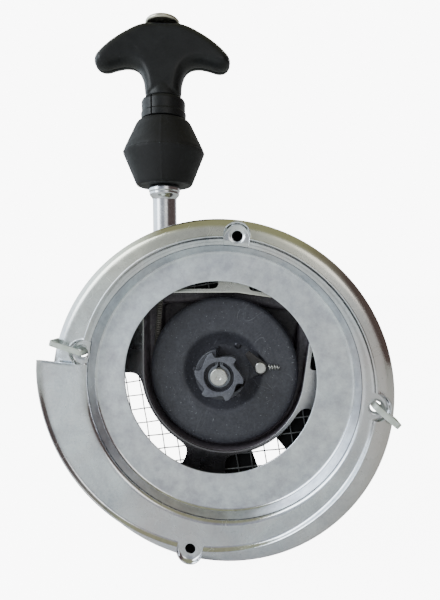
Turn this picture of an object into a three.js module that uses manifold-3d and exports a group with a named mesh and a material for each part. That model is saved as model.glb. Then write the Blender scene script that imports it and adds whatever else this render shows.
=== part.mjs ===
// Recoil starter: a pressed-steel volute plate and cowl with a D-shaped housing,
// a rope pulley on a fixed axle, and a T-handle above a guide tube.
// Millimetres. +Z is up, X runs across, and +Y points away from the engine.
// The pulley turns about the Y axis through the origin, and y = 0 is the engine's mounting face.
import * as THREE from 'three';
import { mergeVertices } from 'three/addons/utils/BufferGeometryUtils.js';
import Module from 'manifold-3d';

const wasm = await Module();
wasm.setup();

// ---- driving dimensions ----
const SHEET = 1.5;
const GAP = 0.3;

const HOLE_R = 79.7;
const STEP_CENTRE = [2, -3];
const STEP_OUTER_R = 112.5;
const STEP_INNER_R = 106.5;
const STEP_DEPTH = 13;
const LIP_HEIGHT = 3;

const BRIM_CENTRE = [-1.8, -10.7];
const BRIM_R = 140;
const BRIM_HEM = 11;
const VOLUTE_CENTRE = [-0.6, -8.7];
const VOLUTE_END_DEG = 174;
// Angle in degrees and radius about the volute's centre, from the tail round to the left ear.
const VOLUTE_RADII = [
  [-186, 151.5], [-165, 145.2], [-145, 140.1], [-130, 136.4], [-120, 134.2], [-110, 131.7],
  [-105, 131.2], [-97, 130.4], [-90, 129], [-80, 127.4], [-71, 126.9], [-64, 126], [-58, 125],
  [-45, 124.5], [78, 124.5], [90, 123.8], [105, 123], [125, 121.8], [150, 117.7], [165, 115], [174, 113.8],
];

const EAR_HOLES = [[17.5, 114.4], [-110.8, 22], [-22, -137.5], [122.7, -16.3]];
const EAR_R = 10.5;
const EAR_REACH = 0.9;
const EAR_HOLE_R = 4.25;

const WALL_R = 108.3;
const WALL_MOUTH_R = 114.2;
const FACE_Y = 40;
const MOUTH_R = 70.5;
const MOUTH_TOP = 69.3;
const MOUTH_TILT_DEG = 8;
const SHELF_Y = 59;
const SHELF_INSET = 10;
const FLOOR_Y = 78;

const PULLEY_R = 66;
const PULLEY_FACE_Y = 42;
const ROPE_Y = 53.4;
const ROPE_R = 63.5;
const ROPE_D = 5;
const AXLE_R = 7.5;
const AXLE_END_Y = 16;
const STAR_Y = 17.5;
const STAR_THICK = 6;
const STAR_R = 21;
const STAR_TEETH = 6;
const PIN = [33.5, 4.5];
const PIN_R = 4.9;

const TUBE_X = -53.4;
const TUBE_R = 10.6;
const TUBE_TOP = 158;
const FLARE_R = 14;
const FLARE_TOP = 165;
const CONE_TOP = 222;
const COLLAR_BOTTOM = 223.5;
const COLLAR_TOP = 241.5;
const HANDLE_TURN_DEG = 10;
const HANDLE_TOP = 309.5;
const HANDLE_HALF_SPAN = 60;

const RAD = Math.PI / 180;

// ---- materials ----
const metal = (color, roughness, metalness = 1) =>
  new THREE.MeshStandardMaterial({ color, roughness, metalness });
const zinc = metal(0xc3ccd2, 0.35);
const zincDark = metal(0x9aa2aa, 0.45);
const darkPaint = metal(0x24252b, 0.5, 0.3);
const darkSteel = metal(0x3a3d46, 0.45, 0.7);
const brightSteel = metal(0xb8b8b8, 0.3);
const springSteel = metal(0x5c5f66, 0.35);
const brass = metal(0xb8973f, 0.4);
const rubber = metal(0x17181a, 0.85, 0);
const plastic = metal(0x1b1d20, 0.55, 0);
const nylon = metal(0xdfe5df, 0.4, 0);
const cord = metal(0x55524e, 0.9, 0);

// ---- solids ----
// Merges shared vertices and drops the flat triangles that a turned tip leaves on the axis.
function weld(geometry) {
  const bare = geometry.index ? geometry.toNonIndexed() : geometry.clone();
  bare.deleteAttribute('normal');
  bare.deleteAttribute('uv');
  const merged = mergeVertices(bare, 1e-4);
  const kept = [];
  const corners = merged.index.array;
  for (let i = 0; i < corners.length; i += 3) {
    const [a, b, c] = corners.slice(i, i + 3);
    if (a !== b && b !== c && c !== a) kept.push(a, b, c);
  }
  merged.setIndex(kept);
  return merged;
}

function solid(geometry) {
  const welded = weld(geometry);
  return new wasm.Manifold(new wasm.Mesh({
    numProp: 3,
    vertProperties: welded.attributes.position.array,
    triVerts: new Uint32Array(welded.index.array),
  }));
}

function toGeometry(body) {
  const mesh = body.getMesh();
  const geometry = new THREE.BufferGeometry();
  geometry.setAttribute('position', new THREE.BufferAttribute(mesh.vertProperties, 3));
  geometry.setIndex(new THREE.BufferAttribute(mesh.triVerts, 1));
  return geometry;
}

const cut = (geometry, ...tools) =>
  toGeometry(tools.reduce((body, tool) => body.subtract(solid(tool)), solid(geometry)));

const join = (...geometries) =>
  toGeometry(geometries.slice(1).reduce((body, g) => body.add(solid(g)), solid(geometries[0])));

// A turned piece about the Y axis. The profile is a closed list of [radius, y].
// It may start and end on the axis instead.
function turned(profile, segments = 48) {
  const open = profile[0][0] === 0 && profile[profile.length - 1][0] === 0;
  const outline = open ? profile : [...profile, profile[0]];
  const points = outline.map(([r, y]) => new THREE.Vector2(r, y));
  return outward(weld(new THREE.LatheGeometry(points, segments)));
}

// Turns a closed surface inside out if its faces point inward.
function outward(geometry) {
  const flat = geometry.toNonIndexed().attributes.position;
  const [a, b, c] = [new THREE.Vector3(), new THREE.Vector3(), new THREE.Vector3()];
  let volume = 0;
  for (let i = 0; i < flat.count; i += 3) {
    a.fromBufferAttribute(flat, i);
    b.fromBufferAttribute(flat, i + 1);
    c.fromBufferAttribute(flat, i + 2);
    volume += a.dot(b.cross(c));
  }
  if (volume < 0) {
    const index = geometry.index.array;
    for (let i = 0; i < index.length; i += 3) {
      [index[i], index[i + 1]] = [index[i + 1], index[i]];
    }
  }
  return geometry;
}

// A round bar from y0 to y1, centred on x, z.
function barY(radius, y0, y1, [x, z] = [0, 0], segments = 24) {
  const bar = new THREE.CylinderGeometry(radius, radius, y1 - y0, segments);
  return bar.translate(x, (y0 + y1) / 2, z);
}

// An outline of [x, z] points pushed along Y from y0 to y1.
function plateY(outline, y0, y1, holes = []) {
  const toShape = (points) => new THREE.Shape(points.map(([x, z]) => new THREE.Vector2(x, z)));
  const shape = toShape(outline);
  shape.holes = holes.map(toShape);
  const body = new THREE.ExtrudeGeometry(shape, { depth: y1 - y0, bevelEnabled: false });
  return body.rotateX(Math.PI / 2).translate(0, y1, 0);
}

// A closed skin swept round the origin. section(angle) returns its [radius, y] points.
function swept(angles, section) {
  const rows = angles.map((angle) => section(angle).map(([r, y]) =>
    [r * Math.cos(angle), y, r * Math.sin(angle)]));
  const count = rows[0].length;
  const geometry = new THREE.BufferGeometry();
  geometry.setAttribute('position', new THREE.Float32BufferAttribute(rows.flat(2), 3));
  const index = [];
  rows.forEach((row, i) => {
    const next = (i + 1) % rows.length;
    for (let j = 0; j < count; j += 1) {
      const k = (j + 1) % count;
      index.push(i * count + j, next * count + j, next * count + k);
      index.push(i * count + j, next * count + k, i * count + k);
    }
  });
  geometry.setIndex(index);
  return outward(geometry);
}

// Distance from the origin, along an angle, to the far side of a circle.
function reach(angle, [x, z], radius) {
  const along = x * Math.cos(angle) + z * Math.sin(angle);
  const across = x * Math.sin(angle) - z * Math.cos(angle);
  return along + Math.sqrt(Math.max(radius * radius - across * across, 0));
}

const smoothMax = (a, b, width) => {
  const h = Math.max(width - Math.abs(a - b), 0) / width;
  return Math.max(a, b) + h * h * width / 4;
};

const ringAngles = (count) => Array.from({ length: count }, (_, i) => (2 * Math.PI * i) / count);

// ---- volute plate ----
// The outline is round on the right, pulls in above the left ear and runs out to the volute's tail.
function tableRadius(deg) {
  const after = Math.max(1, VOLUTE_RADII.findIndex(([at]) => at >= deg));
  const [[low, start], [high, end]] = [VOLUTE_RADII[after - 1], VOLUTE_RADII[after]];
  return start + ((end - start) * (deg - low)) / (high - low);
}

function voluteRadius(deg) {
  const wrapped = deg > VOLUTE_END_DEG ? deg - 360 : deg;
  const near = [-6, -3, 0, 3, 6].map((step) =>
    tableRadius(Math.min(Math.max(wrapped + step, -186), VOLUTE_END_DEG)));
  return near.reduce((sum, radius) => sum + radius) / near.length;
}

function earCentre([x, z]) {
  const length = Math.hypot(x, z);
  return [x * (1 + EAR_REACH / length), z * (1 + EAR_REACH / length)];
}

function plateEdge(angle) {
  let radius = reach(angle, VOLUTE_CENTRE, voluteRadius(angle / RAD));
  for (const hole of EAR_HOLES) {
    const centre = earCentre(hole);
    const across = centre[0] * Math.sin(angle) - centre[1] * Math.cos(angle);
    const ahead = centre[0] * Math.cos(angle) + centre[1] * Math.sin(angle) > 0;
    if (ahead && Math.abs(across) < EAR_R) {
      radius = smoothMax(radius, reach(angle, centre, EAR_R), 6);
    }
  }
  return radius;
}

function plateAngles() {
  const degrees = new Set();
  for (let deg = 0; deg < 360; deg += 5) degrees.add(deg);
  for (const [x, z] of EAR_HOLES) {
    const middle = (Math.atan2(z, x) / RAD + 360) % 360;
    for (let step = -6; step <= 6; step += 1.5) degrees.add((middle + step + 360) % 360);
  }
  degrees.add(VOLUTE_END_DEG - 0.05);
  degrees.add(VOLUTE_END_DEG + 0.05);
  const sorted = [...degrees].sort((a, b) => a - b);
  return sorted.filter((deg, i) => i === 0 || deg - sorted[i - 1] > 0.08).map((deg) => deg * RAD);
}

function plateSection(angle) {
  const edge = plateEdge(angle);
  const inner = reach(angle, STEP_CENTRE, STEP_INNER_R);
  const outer = reach(angle, STEP_CENTRE, STEP_OUTER_R);
  const front = [
    [HOLE_R, STEP_DEPTH], [inner - 1, STEP_DEPTH], [inner + 1.2, STEP_DEPTH - 1.2],
    [outer - 1.5, 1], [outer, 0], [edge - SHEET - 0.8, 0], [edge - SHEET, -0.8],
    [edge - SHEET, -LIP_HEIGHT],
  ];
  const back = [
    [edge, -LIP_HEIGHT], [edge, 0.7], [edge - 0.8, SHEET], [outer + 1, SHEET],
    [outer - 0.4, SHEET + 0.6], [inner + 2.4, STEP_DEPTH], [inner, STEP_DEPTH + SHEET],
    [HOLE_R, STEP_DEPTH + SHEET],
  ];
  return [...front, ...back];
}

const earHoleCutters = EAR_HOLES.map((hole) => barY(EAR_HOLE_R, -5, 20, hole, 16));
const volutePlate = cut(swept(plateAngles(), plateSection), ...earHoleCutters);

// ---- D-shaped outlines of the housing ----
// A round bottom, an upright left wall and a right wall that leans out by the tilt.
function housingOutline(radius, top, corner = 8) {
  const tilt = MOUTH_TILT_DEG * RAD;
  const lean = (x, z) => [x * Math.cos(tilt) + z * Math.sin(tilt), z * Math.cos(tilt) - x * Math.sin(tilt)];
  const points = [];
  for (let deg = 180; deg <= 360 - MOUTH_TILT_DEG; deg += 7.16) {
    points.push([radius * Math.cos(deg * RAD), radius * Math.sin(deg * RAD)]);
  }
  const arc = (x, z, from, turn) => {
    for (let step = 0; step <= 3; step += 1) {
      const angle = (from + 30 * step) * RAD;
      points.push(turn(x + corner * Math.cos(angle), z + corner * Math.sin(angle)));
    }
  };
  const roof = top + 0.012 * radius;
  arc(radius - corner, roof - corner, 0, lean);
  points.push([13, top]);
  arc(-radius + corner, top - corner, 90, (x, z) => [x, z]);
  return points;
}

// Radius of a closed outline along an angle, found on the side that the ray crosses.
function outlineReach(outline, angle) {
  const [c, s] = [Math.cos(angle), Math.sin(angle)];
  for (let i = 0; i < outline.length; i += 1) {
    const [ax, az] = outline[i];
    const [bx, bz] = outline[(i + 1) % outline.length];
    const sideA = ax * s - az * c;
    const sideB = bx * s - bz * c;
    if (sideA * sideB > 0 || sideA === sideB) continue;
    const part = sideA / (sideA - sideB);
    const x = ax + (bx - ax) * part;
    const z = az + (bz - az) * part;
    if (x * c + z * s > 0) return Math.hypot(x, z);
  }
  return 0;
}

const mouth = housingOutline(MOUTH_R, MOUTH_TOP);
const housingSkin = housingOutline(MOUTH_R + SHEET, MOUTH_TOP + SHEET);
const recess = housingOutline(MOUTH_R - SHELF_INSET, MOUTH_TOP - SHELF_INSET, 6);
const recessSkin = housingOutline(MOUTH_R - SHELF_INSET + SHEET, MOUTH_TOP - SHELF_INSET + SHEET, 6);

// ---- air windows and their screens ----
const WINDOW_OUTER_R = 97;
const WINDOWS = [
  { name: 'left', from: 181.5, to: 246.5 },
  { name: 'bottom', from: 271, to: 338.5 },
  { name: 'right', from: 2, to: 22 },
  { name: 'top_right', from: 47, to: 72.5 },
  { name: 'top_left', from: 92, to: 126 },
];

function windowOutline({ from, to }, grow = 0) {
  const rim = housingOutline(MOUTH_R + 3.6 - grow / 3, MOUTH_TOP + 2.6 - grow / 3);
  const points = [];
  const steps = Math.max(4, Math.round((to - from) / 7));
  const pad = grow / 88 / RAD;
  for (let i = 0; i <= steps; i += 1) {
    const angle = (from - pad + ((to - from + 2 * pad) * i) / steps) * RAD;
    points.push([angle, WINDOW_OUTER_R + grow]);
  }
  for (let i = steps; i >= 0; i -= 1) {
    const angle = (from - pad + ((to - from + 2 * pad) * i) / steps) * RAD;
    points.push([angle, outlineReach(rim, angle)]);
  }
  return points.map(([angle, r]) => [r * Math.cos(angle), r * Math.sin(angle)]);
}

// ---- cowl ----
function cowlSection(angle) {
  const rim = reach(angle, BRIM_CENTRE, BRIM_R);
  const wall = reach(angle, STEP_CENTRE, WALL_R);
  const throat = reach(angle, STEP_CENTRE, WALL_MOUTH_R);
  const mouthRadius = outlineReach(mouth, angle) + GAP;
  const top = SHEET + GAP;
  const inside = [
    [mouthRadius, FACE_Y], [wall - 7, FACE_Y], [wall - 2, FACE_Y - 2], [wall, FACE_Y - 7],
    [wall, STEP_DEPTH + 3.5], [throat, top + 0.8], [throat + 1.6, top], [rim - 6, top + 1.5], [rim - 2, top + 3],
    [rim, top + 6], [rim, BRIM_HEM],
  ];
  const outside = [
    [rim - SHEET, BRIM_HEM], [rim - SHEET, top + 6.4], [rim - 3.2, top + 4.3], [rim - 6.4, top + 3],
    [throat + 2, top + SHEET], [throat + 1.2, top + SHEET + 0.6], [wall + SHEET, STEP_DEPTH + 4.3],
    [wall + SHEET, FACE_Y - 6.6],
    [wall - 1, FACE_Y - 0.9], [wall - 6.6, FACE_Y + SHEET], [mouthRadius, FACE_Y + SHEET],
  ];
  return [...inside, ...outside];
}

const windowCutters = WINDOWS.map((opening) =>
  plateY(windowOutline(opening), FACE_Y - 3, FACE_Y + 5));
const brimHoleCutters = EAR_HOLES.map((hole) => barY(EAR_HOLE_R + 0.5, -5, 20, hole, 12));
const cowl = cut(swept(ringAngles(60), cowlSection), ...windowCutters, ...brimHoleCutters);

// ---- starter housing ----
const cupAngles = ringAngles(60);
function housingSection(angle) {
  const [m, ms] = [outlineReach(mouth, angle), outlineReach(housingSkin, angle)];
  const [r, rs] = [outlineReach(recess, angle), outlineReach(recessSkin, angle)];
  const start = FACE_Y + SHEET + GAP;
  return [
    [m, start], [m, SHELF_Y], [r, SHELF_Y], [r, FLOOR_Y], [9, FLOOR_Y],
    [9, FLOOR_Y + SHEET], [rs, FLOOR_Y + SHEET], [rs, SHELF_Y + SHEET], [ms, SHELF_Y + SHEET], [ms, start],
  ];
}
const ropeHole = new THREE.CylinderGeometry(5.5, 5.5, 12, 16)
  .rotateX(Math.PI / 2).translate(TUBE_X - 2.5, ROPE_Y, MOUTH_TOP);
const housingTabs = [84, -12, -101, 152].map((deg) => {
  const angle = deg * RAD;
  const radius = outlineReach(housingSkin, angle);
  const tab = new THREE.BoxGeometry(9, SHEET, 14);
  tab.rotateY(-angle);
  return tab.translate((radius + 3.4) * Math.cos(angle), FACE_Y + 1.5 * SHEET + GAP,
    (radius + 3.4) * Math.sin(angle));
});
const starterHousing = cut(join(swept(cupAngles, housingSection), ...housingTabs), ropeHole);

// ---- axle and its fixings ----
const axleEnd = FLOOR_Y + SHEET + 9;
const axle = turned([
  [0, AXLE_END_Y], [AXLE_R - 1, AXLE_END_Y], [AXLE_R, AXLE_END_Y + 1], [AXLE_R, AXLE_END_Y + 4.2],
  [AXLE_R - 1, AXLE_END_Y + 4.2], [AXLE_R - 1, AXLE_END_Y + 5.6], [AXLE_R, AXLE_END_Y + 5.6],
  [AXLE_R, FLOOR_Y - 5], [12, FLOOR_Y - 5], [12, FLOOR_Y - GAP],
  [6, FLOOR_Y - GAP], [6, axleEnd], [0, axleEnd],
], 20);
const washerY = FLOOR_Y + SHEET + GAP;
const axleWasher = turned([[6.3, washerY], [13, washerY], [13, washerY + 1.6], [6.3, washerY + 1.6]], 28);
const nutY = washerY + 1.6 + GAP;
const axleNut = cut(
  new THREE.CylinderGeometry(11, 11, 5.5, 6).translate(0, nutY + 2.75, 0),
  barY(6.3, nutY - 1, nutY + 7, [0, 0], 20),
);

// A retaining ring in the axle's groove, with two plier lugs at the top of its gap.
function circlipOutline() {
  const points = [];
  const [inner, outer] = [AXLE_R - 0.6, AXLE_R + 2];
  for (let deg = 105; deg <= 435; deg += 15) {
    points.push([outer * Math.cos(deg * RAD), outer * Math.sin(deg * RAD)]);
  }
  points.push([2.4, 11.2], [1, 11.2]);
  for (let deg = 435; deg >= 105; deg -= 15) {
    points.push([inner * Math.cos(deg * RAD), inner * Math.sin(deg * RAD)]);
  }
  points.push([-1, 11.2], [-2.4, 11.2]);
  return points;
}
const circlipY = AXLE_END_Y + 4.3;
const circlip = plateY(circlipOutline(), circlipY, circlipY + 1.1);

// ---- pulley ----
const pulleyFront = turned([
  [9.3, 49], [30, 49], [32.5, 47.5], [34, PULLEY_FACE_Y + 0.6], [36, PULLEY_FACE_Y - 0.6],
  [39, PULLEY_FACE_Y - 0.8], [60, PULLEY_FACE_Y], [64, PULLEY_FACE_Y + 1], [PULLEY_R, PULLEY_FACE_Y + 3],
  [PULLEY_R, PULLEY_FACE_Y + 6], [PULLEY_R - SHEET, PULLEY_FACE_Y + 6],
  [PULLEY_R - SHEET, PULLEY_FACE_Y + 3.6], [63, PULLEY_FACE_Y + 2.4], [59, PULLEY_FACE_Y + SHEET],
  [39.5, PULLEY_FACE_Y + 0.8], [36.5, PULLEY_FACE_Y + 1.2], [35.3, PULLEY_FACE_Y + 2.4],
  [33.6, 49], [31.5, 50.2], [9.3, 50.2],
], 44);
const DRUM_R = 48.5;
const pulleyDrum = turned([
  [9.3, 50.5], [DRUM_R, 50.5], [DRUM_R, 56], [65, 56.2], [65, 57.7], [DRUM_R - 2, 57.7],
  [DRUM_R - 2, 59], [9.3, 59],
], 40);
const ropeCoil = turned([
  [DRUM_R + 0.4, 50.6], [PULLEY_R - 0.9, 50.6], [PULLEY_R, 51.8], [PULLEY_R, 54.2],
  [PULLEY_R - 0.9, 55.6], [DRUM_R + 0.4, 55.6],
], 40);
const hubBush = turned([
  [8, 24], [15, 24], [15, 27.5], [22, 27.5], [22, 48.6], [9, 48.6], [9, 60.5], [8, 60.5],
], 36);
const thrustWasher = turned([[8, 60.9], [13.5, 60.9], [13.5, 62.1], [8, 62.1]], 28);

// The drive star: saw teeth that rise gently and drop steeply, going clockwise from the engine side.
function starOutline() {
  const points = [];
  const pitch = 360 / STAR_TEETH;
  for (let tooth = 0; tooth < STAR_TEETH; tooth += 1) {
    const tip = 105 + tooth * pitch;
    const place = (deg, radius) =>
      points.push([radius * Math.cos(deg * RAD), radius * Math.sin(deg * RAD)]);
    place(tip, STAR_R);
    place(tip + 12, STAR_R - 0.5);
    place(tip + 30, STAR_R - 2.8);
    place(tip + 52, STAR_R - 5);
  }
  return points;
}
const ratchetStar = cut(
  plateY(starOutline(), STAR_Y, STAR_Y + STAR_THICK),
  barY(12.6, STAR_Y - 1, STAR_Y + STAR_THICK + 1, [0, 0], 28),
);

const pawlPin = turned([
  [0, 36.3], [PIN_R - 0.6, 36.3], [PIN_R, 36.9], [PIN_R, 37.8], [2.6, 37.8], [2.6, 48.9], [0, 48.9],
], 20).translate(PIN[0], 0, PIN[1]);

const PAWL_TIP = [21, 15];
function pawlOutline() {
  const points = [];
  for (let deg = -120; deg <= 60; deg += 20) {
    points.push([PIN[0] + 6 * Math.cos(deg * RAD), PIN[1] + 6 * Math.sin(deg * RAD)]);
  }
  points.push([PAWL_TIP[0] + 2.5, PAWL_TIP[1] + 4], [PAWL_TIP[0] - 1, PAWL_TIP[1] + 1], [27, 5]);
  return points;
}

// A coil spring along X from a to b.
function coilSpring(a, b, y, z, radius, wire, turns) {
  class Helix extends THREE.Curve {
    getPoint(t) {
      const angle = 2 * Math.PI * turns * t;
      return new THREE.Vector3(a + (b - a) * t, y + radius * Math.cos(angle), z + radius * Math.sin(angle));
    }
  }
  const section = new THREE.Shape(ringAngles(5).map((angle) =>
    new THREE.Vector2(wire * Math.cos(angle), wire * Math.sin(angle))));
  return new THREE.ExtrudeGeometry(section, { steps: turns * 10, extrudePath: new Helix(), bevelEnabled: false });
}

const pinHole = barY(3, 30, 55, PIN, 16);
const pawl = cut(plateY(pawlOutline(), 38.1, 40.6), pinHole);
const pulleyFrontBored = cut(pulleyFront, barY(2.9, 30, 55, PIN, 16));
const pawlSpring = coilSpring(40.2, 49.5, 38, PIN[1] + 0.8, 2.3, 0.5, 4);

const RIVET_R = 26;
const rivet = (deg) => turned([[0, 47.2], [2.6, 47.2], [3.2, 48.7], [0, 48.7]], 14)
  .translate(RIVET_R * Math.cos(deg * RAD), 0, RIVET_R * Math.sin(deg * RAD));

// ---- recoil spring behind the pulley ----
// A flat strip wound from the cup's wall in to the pulley's hub.
function recoilSpring() {
  const [outerR, innerR, turns, strip] = [49, 17, 6, 1.1];
  const steps = turns * 16;
  const side = (offset) => Array.from({ length: steps + 1 }, (_, i) => {
    const radius = innerR + ((outerR - innerR) * i) / steps + offset;
    const angle = (2 * Math.PI * turns * i) / steps;
    return [radius * Math.cos(angle), radius * Math.sin(angle)];
  });
  return plateY([...side(strip / 2), ...side(-strip / 2).reverse()], 63.5, 73.5);
}
const springCup = turned([
  [14, 75], [52.3, 75], [52.3, 62.5], [53.5, 62.5], [53.5, 76.2], [14, 76.2],
], 40);

// ---- rope guide ----
const upright = (geometry, x = TUBE_X, y = ROPE_Y) => geometry.rotateX(Math.PI / 2).translate(x, y, 0);
const TUBE_FOOT = MOUTH_TOP + SHEET + GAP;
const guideTube = upright(turned([
  [9, TUBE_FOOT], [TUBE_R, TUBE_FOOT], [TUBE_R, TUBE_TOP - 3], [FLARE_R - 1, TUBE_TOP],
  [FLARE_R, TUBE_TOP + 1], [FLARE_R, FLARE_TOP - 1], [FLARE_R - 1, FLARE_TOP], [9, FLARE_TOP],
], 32));
const guideBush = upright(turned([
  [3.4, FLARE_TOP - 14], [8.6, FLARE_TOP - 14], [8.6, FLARE_TOP + 2],
  [5, FLARE_TOP + 2], [3.4, FLARE_TOP + 0.6],
], 24));
const bumper = upright(turned([
  [9, FLARE_TOP + GAP], [24.3, FLARE_TOP + GAP], [25.3, FLARE_TOP + 2], [36, 192.5], [36.6, 195],
  [36, 197.5], [23.6, CONE_TOP - 1.6], [21.6, CONE_TOP], [9, CONE_TOP],
], 32));

// ---- rope ----
// The outer turn leaves the pulley on a tangent and leans in to the tube's axis.
const rope = (from, to, steps = 1) => {
  const section = new THREE.Shape(ringAngles(10).map((angle) =>
    new THREE.Vector2((ROPE_D / 2) * Math.cos(angle), (ROPE_D / 2) * Math.sin(angle))));
  const path = new THREE.LineCurve3(new THREE.Vector3(...from), new THREE.Vector3(...to));
  return new THREE.ExtrudeGeometry(section, { steps, extrudePath: path, bevelEnabled: false });
};
const ROPE_SPLIT_Z = 122;
const TANGENT = [ROPE_R * Math.cos(175.2 * RAD), ROPE_R * Math.sin(175.2 * RAD)];
const LEAD_START = 27;
const slant = Math.atan2(TUBE_X - TANGENT[0], ROPE_SPLIT_Z - TANGENT[1]);
const leadFoot = [TANGENT[0] + LEAD_START * Math.sin(slant), ROPE_Y, TANGENT[1] + LEAD_START * Math.cos(slant)];
const ropeLead = rope(leadFoot, [TUBE_X, ROPE_Y, ROPE_SPLIT_Z - 0.6], 4);
const ropeRun = rope([TUBE_X, ROPE_Y, ROPE_SPLIT_Z], [TUBE_X, ROPE_Y, COLLAR_BOTTOM - GAP], 4);

// ---- handle ----
// A T-grip with arched shoulders, pressed over a split collar and topped by a domed cap.
function gripOutline() {
  const half = [
    [15, HANDLE_TOP - 3], [26, HANDLE_TOP - 7], [37, HANDLE_TOP - 13], [46, HANDLE_TOP - 19],
    [53.5, HANDLE_TOP - 25.5], [58.5, HANDLE_TOP - 31], [HANDLE_HALF_SPAN, HANDLE_TOP - 35],
    [58.4, HANDLE_TOP - 39], [54, HANDLE_TOP - 41], [48.5, HANDLE_TOP - 41], [42, HANDLE_TOP - 39.5],
    [33, HANDLE_TOP - 38], [25.5, HANDLE_TOP - 39], [20, HANDLE_TOP - 43], [17, HANDLE_TOP - 50],
    [15.9, HANDLE_TOP - 57], [15.8, COLLAR_TOP + GAP],
  ];
  return [...half, ...half.map(([x, z]) => [-x, z]).reverse()];
}
function grip() {
  const shape = new THREE.Shape(gripOutline().map(([x, z]) => new THREE.Vector2(x, z)));
  const options = {
    depth: 16, bevelEnabled: true, bevelThickness: 5, bevelSize: 4, bevelOffset: -4, bevelSegments: 2,
  };
  return new THREE.ExtrudeGeometry(shape, options).translate(0, 0, -8).rotateX(Math.PI / 2);
}
const handleTurn = (geometry) => geometry.rotateZ(HANDLE_TURN_DEG * RAD).translate(TUBE_X, ROPE_Y, 0);
const onHandle = (profile, segments) => handleTurn(turned(profile, segments).rotateX(Math.PI / 2));
const KNOT_Z = 281;
const handleBore = turned([
  [0, COLLAR_TOP - 5], [4, COLLAR_TOP - 5], [4, KNOT_Z - 10], [9, KNOT_Z - 9],
  [9, HANDLE_TOP + 20], [0, HANDLE_TOP + 20],
], 20).rotateX(Math.PI / 2);
const handle = handleTurn(cut(grip(), handleBore));
const handleCap = onHandle([
  [0, HANDLE_TOP - 2.7], [14.6, HANDLE_TOP - 2.7], [15.4, HANDLE_TOP - 1.7], [15.2, HANDLE_TOP + 0.2],
  [12.5, HANDLE_TOP + 1.8], [7, HANDLE_TOP + 2.9], [0, HANDLE_TOP + 3.1],
], 32);
const collarSlit = new THREE.BoxGeometry(1.6, 14, 30).translate(-9, -16, COLLAR_BOTTOM + 8);
const handleCollar = handleTurn(cut(
  turned([
    [5, COLLAR_BOTTOM], [19.7, COLLAR_BOTTOM], [20.3, COLLAR_BOTTOM + 1], [19.4, COLLAR_TOP - 1],
    [18.4, COLLAR_TOP], [5, COLLAR_TOP],
  ], 36).rotateX(Math.PI / 2),
  collarSlit,
));
const ropeKnot = onHandle([
  [0, KNOT_Z - 5], [4.5, KNOT_Z - 4.5], [7, KNOT_Z], [7.2, KNOT_Z + 5], [4.5, KNOT_Z + 9], [0, KNOT_Z + 9.5],
], 12);
const knotWasher = onHandle([
  [3, KNOT_Z - 7.2], [8.4, KNOT_Z - 7.2], [8.4, KNOT_Z - 5.6], [3, KNOT_Z - 5.6],
], 20);
const ropeTail = handleTurn(new THREE.CylinderGeometry(2.4, 2.4, KNOT_Z - 7.6 - COLLAR_BOTTOM, 10)
  .rotateX(Math.PI / 2).translate(0, 0, (KNOT_Z - 7.6 + COLLAR_BOTTOM) / 2));

// ---- cable ties that hold the plate and cowl together ----
// A closed strap through an ear's hole and round the brim, with its lock on the far side.
function cableTie([x, z], [towardX, towardZ], length) {
  const [low, high] = [-LIP_HEIGHT - 0.6, BRIM_HEM + 1.2];
  const shape = new THREE.Shape();
  const loop = (path, grow) => {
    const [left, right] = [-0.9 - grow, length + grow];
    const [bottom, top] = [low - grow, high + grow];
    const corner = 1 + grow;
    path.moveTo(left + corner, bottom);
    path.lineTo(right - corner, bottom);
    path.absarc(right - corner, bottom + corner, corner, -Math.PI / 2, 0, false);
    path.lineTo(right, top - corner);
    path.absarc(right - corner, top - corner, corner, 0, Math.PI / 2, false);
    path.lineTo(left + corner, top);
    path.absarc(left + corner, top - corner, corner, Math.PI / 2, Math.PI, false);
    path.lineTo(left, bottom + corner);
    path.absarc(left + corner, bottom + corner, corner, Math.PI, 1.5 * Math.PI, false);
    return path;
  };
  loop(shape, 1.4);
  shape.holes.push(loop(new THREE.Path(), 0));
  const strap = new THREE.ExtrudeGeometry(shape, { depth: 5, bevelEnabled: false, curveSegments: 4 });
  strap.translate(0, 0, -2.5);
  const lock = new THREE.BoxGeometry(8, 5, 7.4).translate(length / 2, high + 3.4, 0);
  const tie = join(strap, lock);
  const reachOut = Math.hypot(towardX, towardZ);
  const basis = new THREE.Matrix4().makeBasis(
    new THREE.Vector3(towardX / reachOut, 0, towardZ / reachOut),
    new THREE.Vector3(0, 1, 0),
    new THREE.Vector3(-towardZ / reachOut, 0, towardX / reachOut),
  );
  return tie.applyMatrix4(basis).translate(x, 0, z);
}

// ---- assembly ----
const starter = new THREE.Group();
function add(name, geometry, material) {
  const mesh = new THREE.Mesh(geometry, material);
  mesh.name = name;
  starter.add(mesh);
}

add('volute_plate', volutePlate, zinc);
add('cowl', cowl, zinc);
add('starter_housing', starterHousing, darkPaint);
for (const opening of WINDOWS) {
  const panel = plateY(windowOutline(opening, 1.8), FACE_Y + SHEET + GAP, FACE_Y + SHEET + GAP + 0.6);
  add(`screen_${opening.name}`, panel, zincDark);
}
add('axle', axle, brightSteel);
add('axle_washer', axleWasher, zincDark);
add('axle_nut', axleNut, zincDark);
add('circlip', circlip, darkSteel);
add('thrust_washer', thrustWasher, brass);
add('recoil_spring', recoilSpring(), springSteel);
add('spring_cup', springCup, zincDark);
add('guide_tube', guideTube, zinc);
add('rope_guide_bush', guideBush, brass);
add('rubber_bumper', bumper, rubber);
add('cable_tie_right', cableTie(EAR_HOLES[3], [0.76, -0.65], 21), nylon);
add('cable_tie_left', cableTie(EAR_HOLES[1], [-0.96, 0.28], 27), nylon);
add('rope_lead', ropeLead, cord);
add('rope_run', ropeRun, cord);

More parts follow.
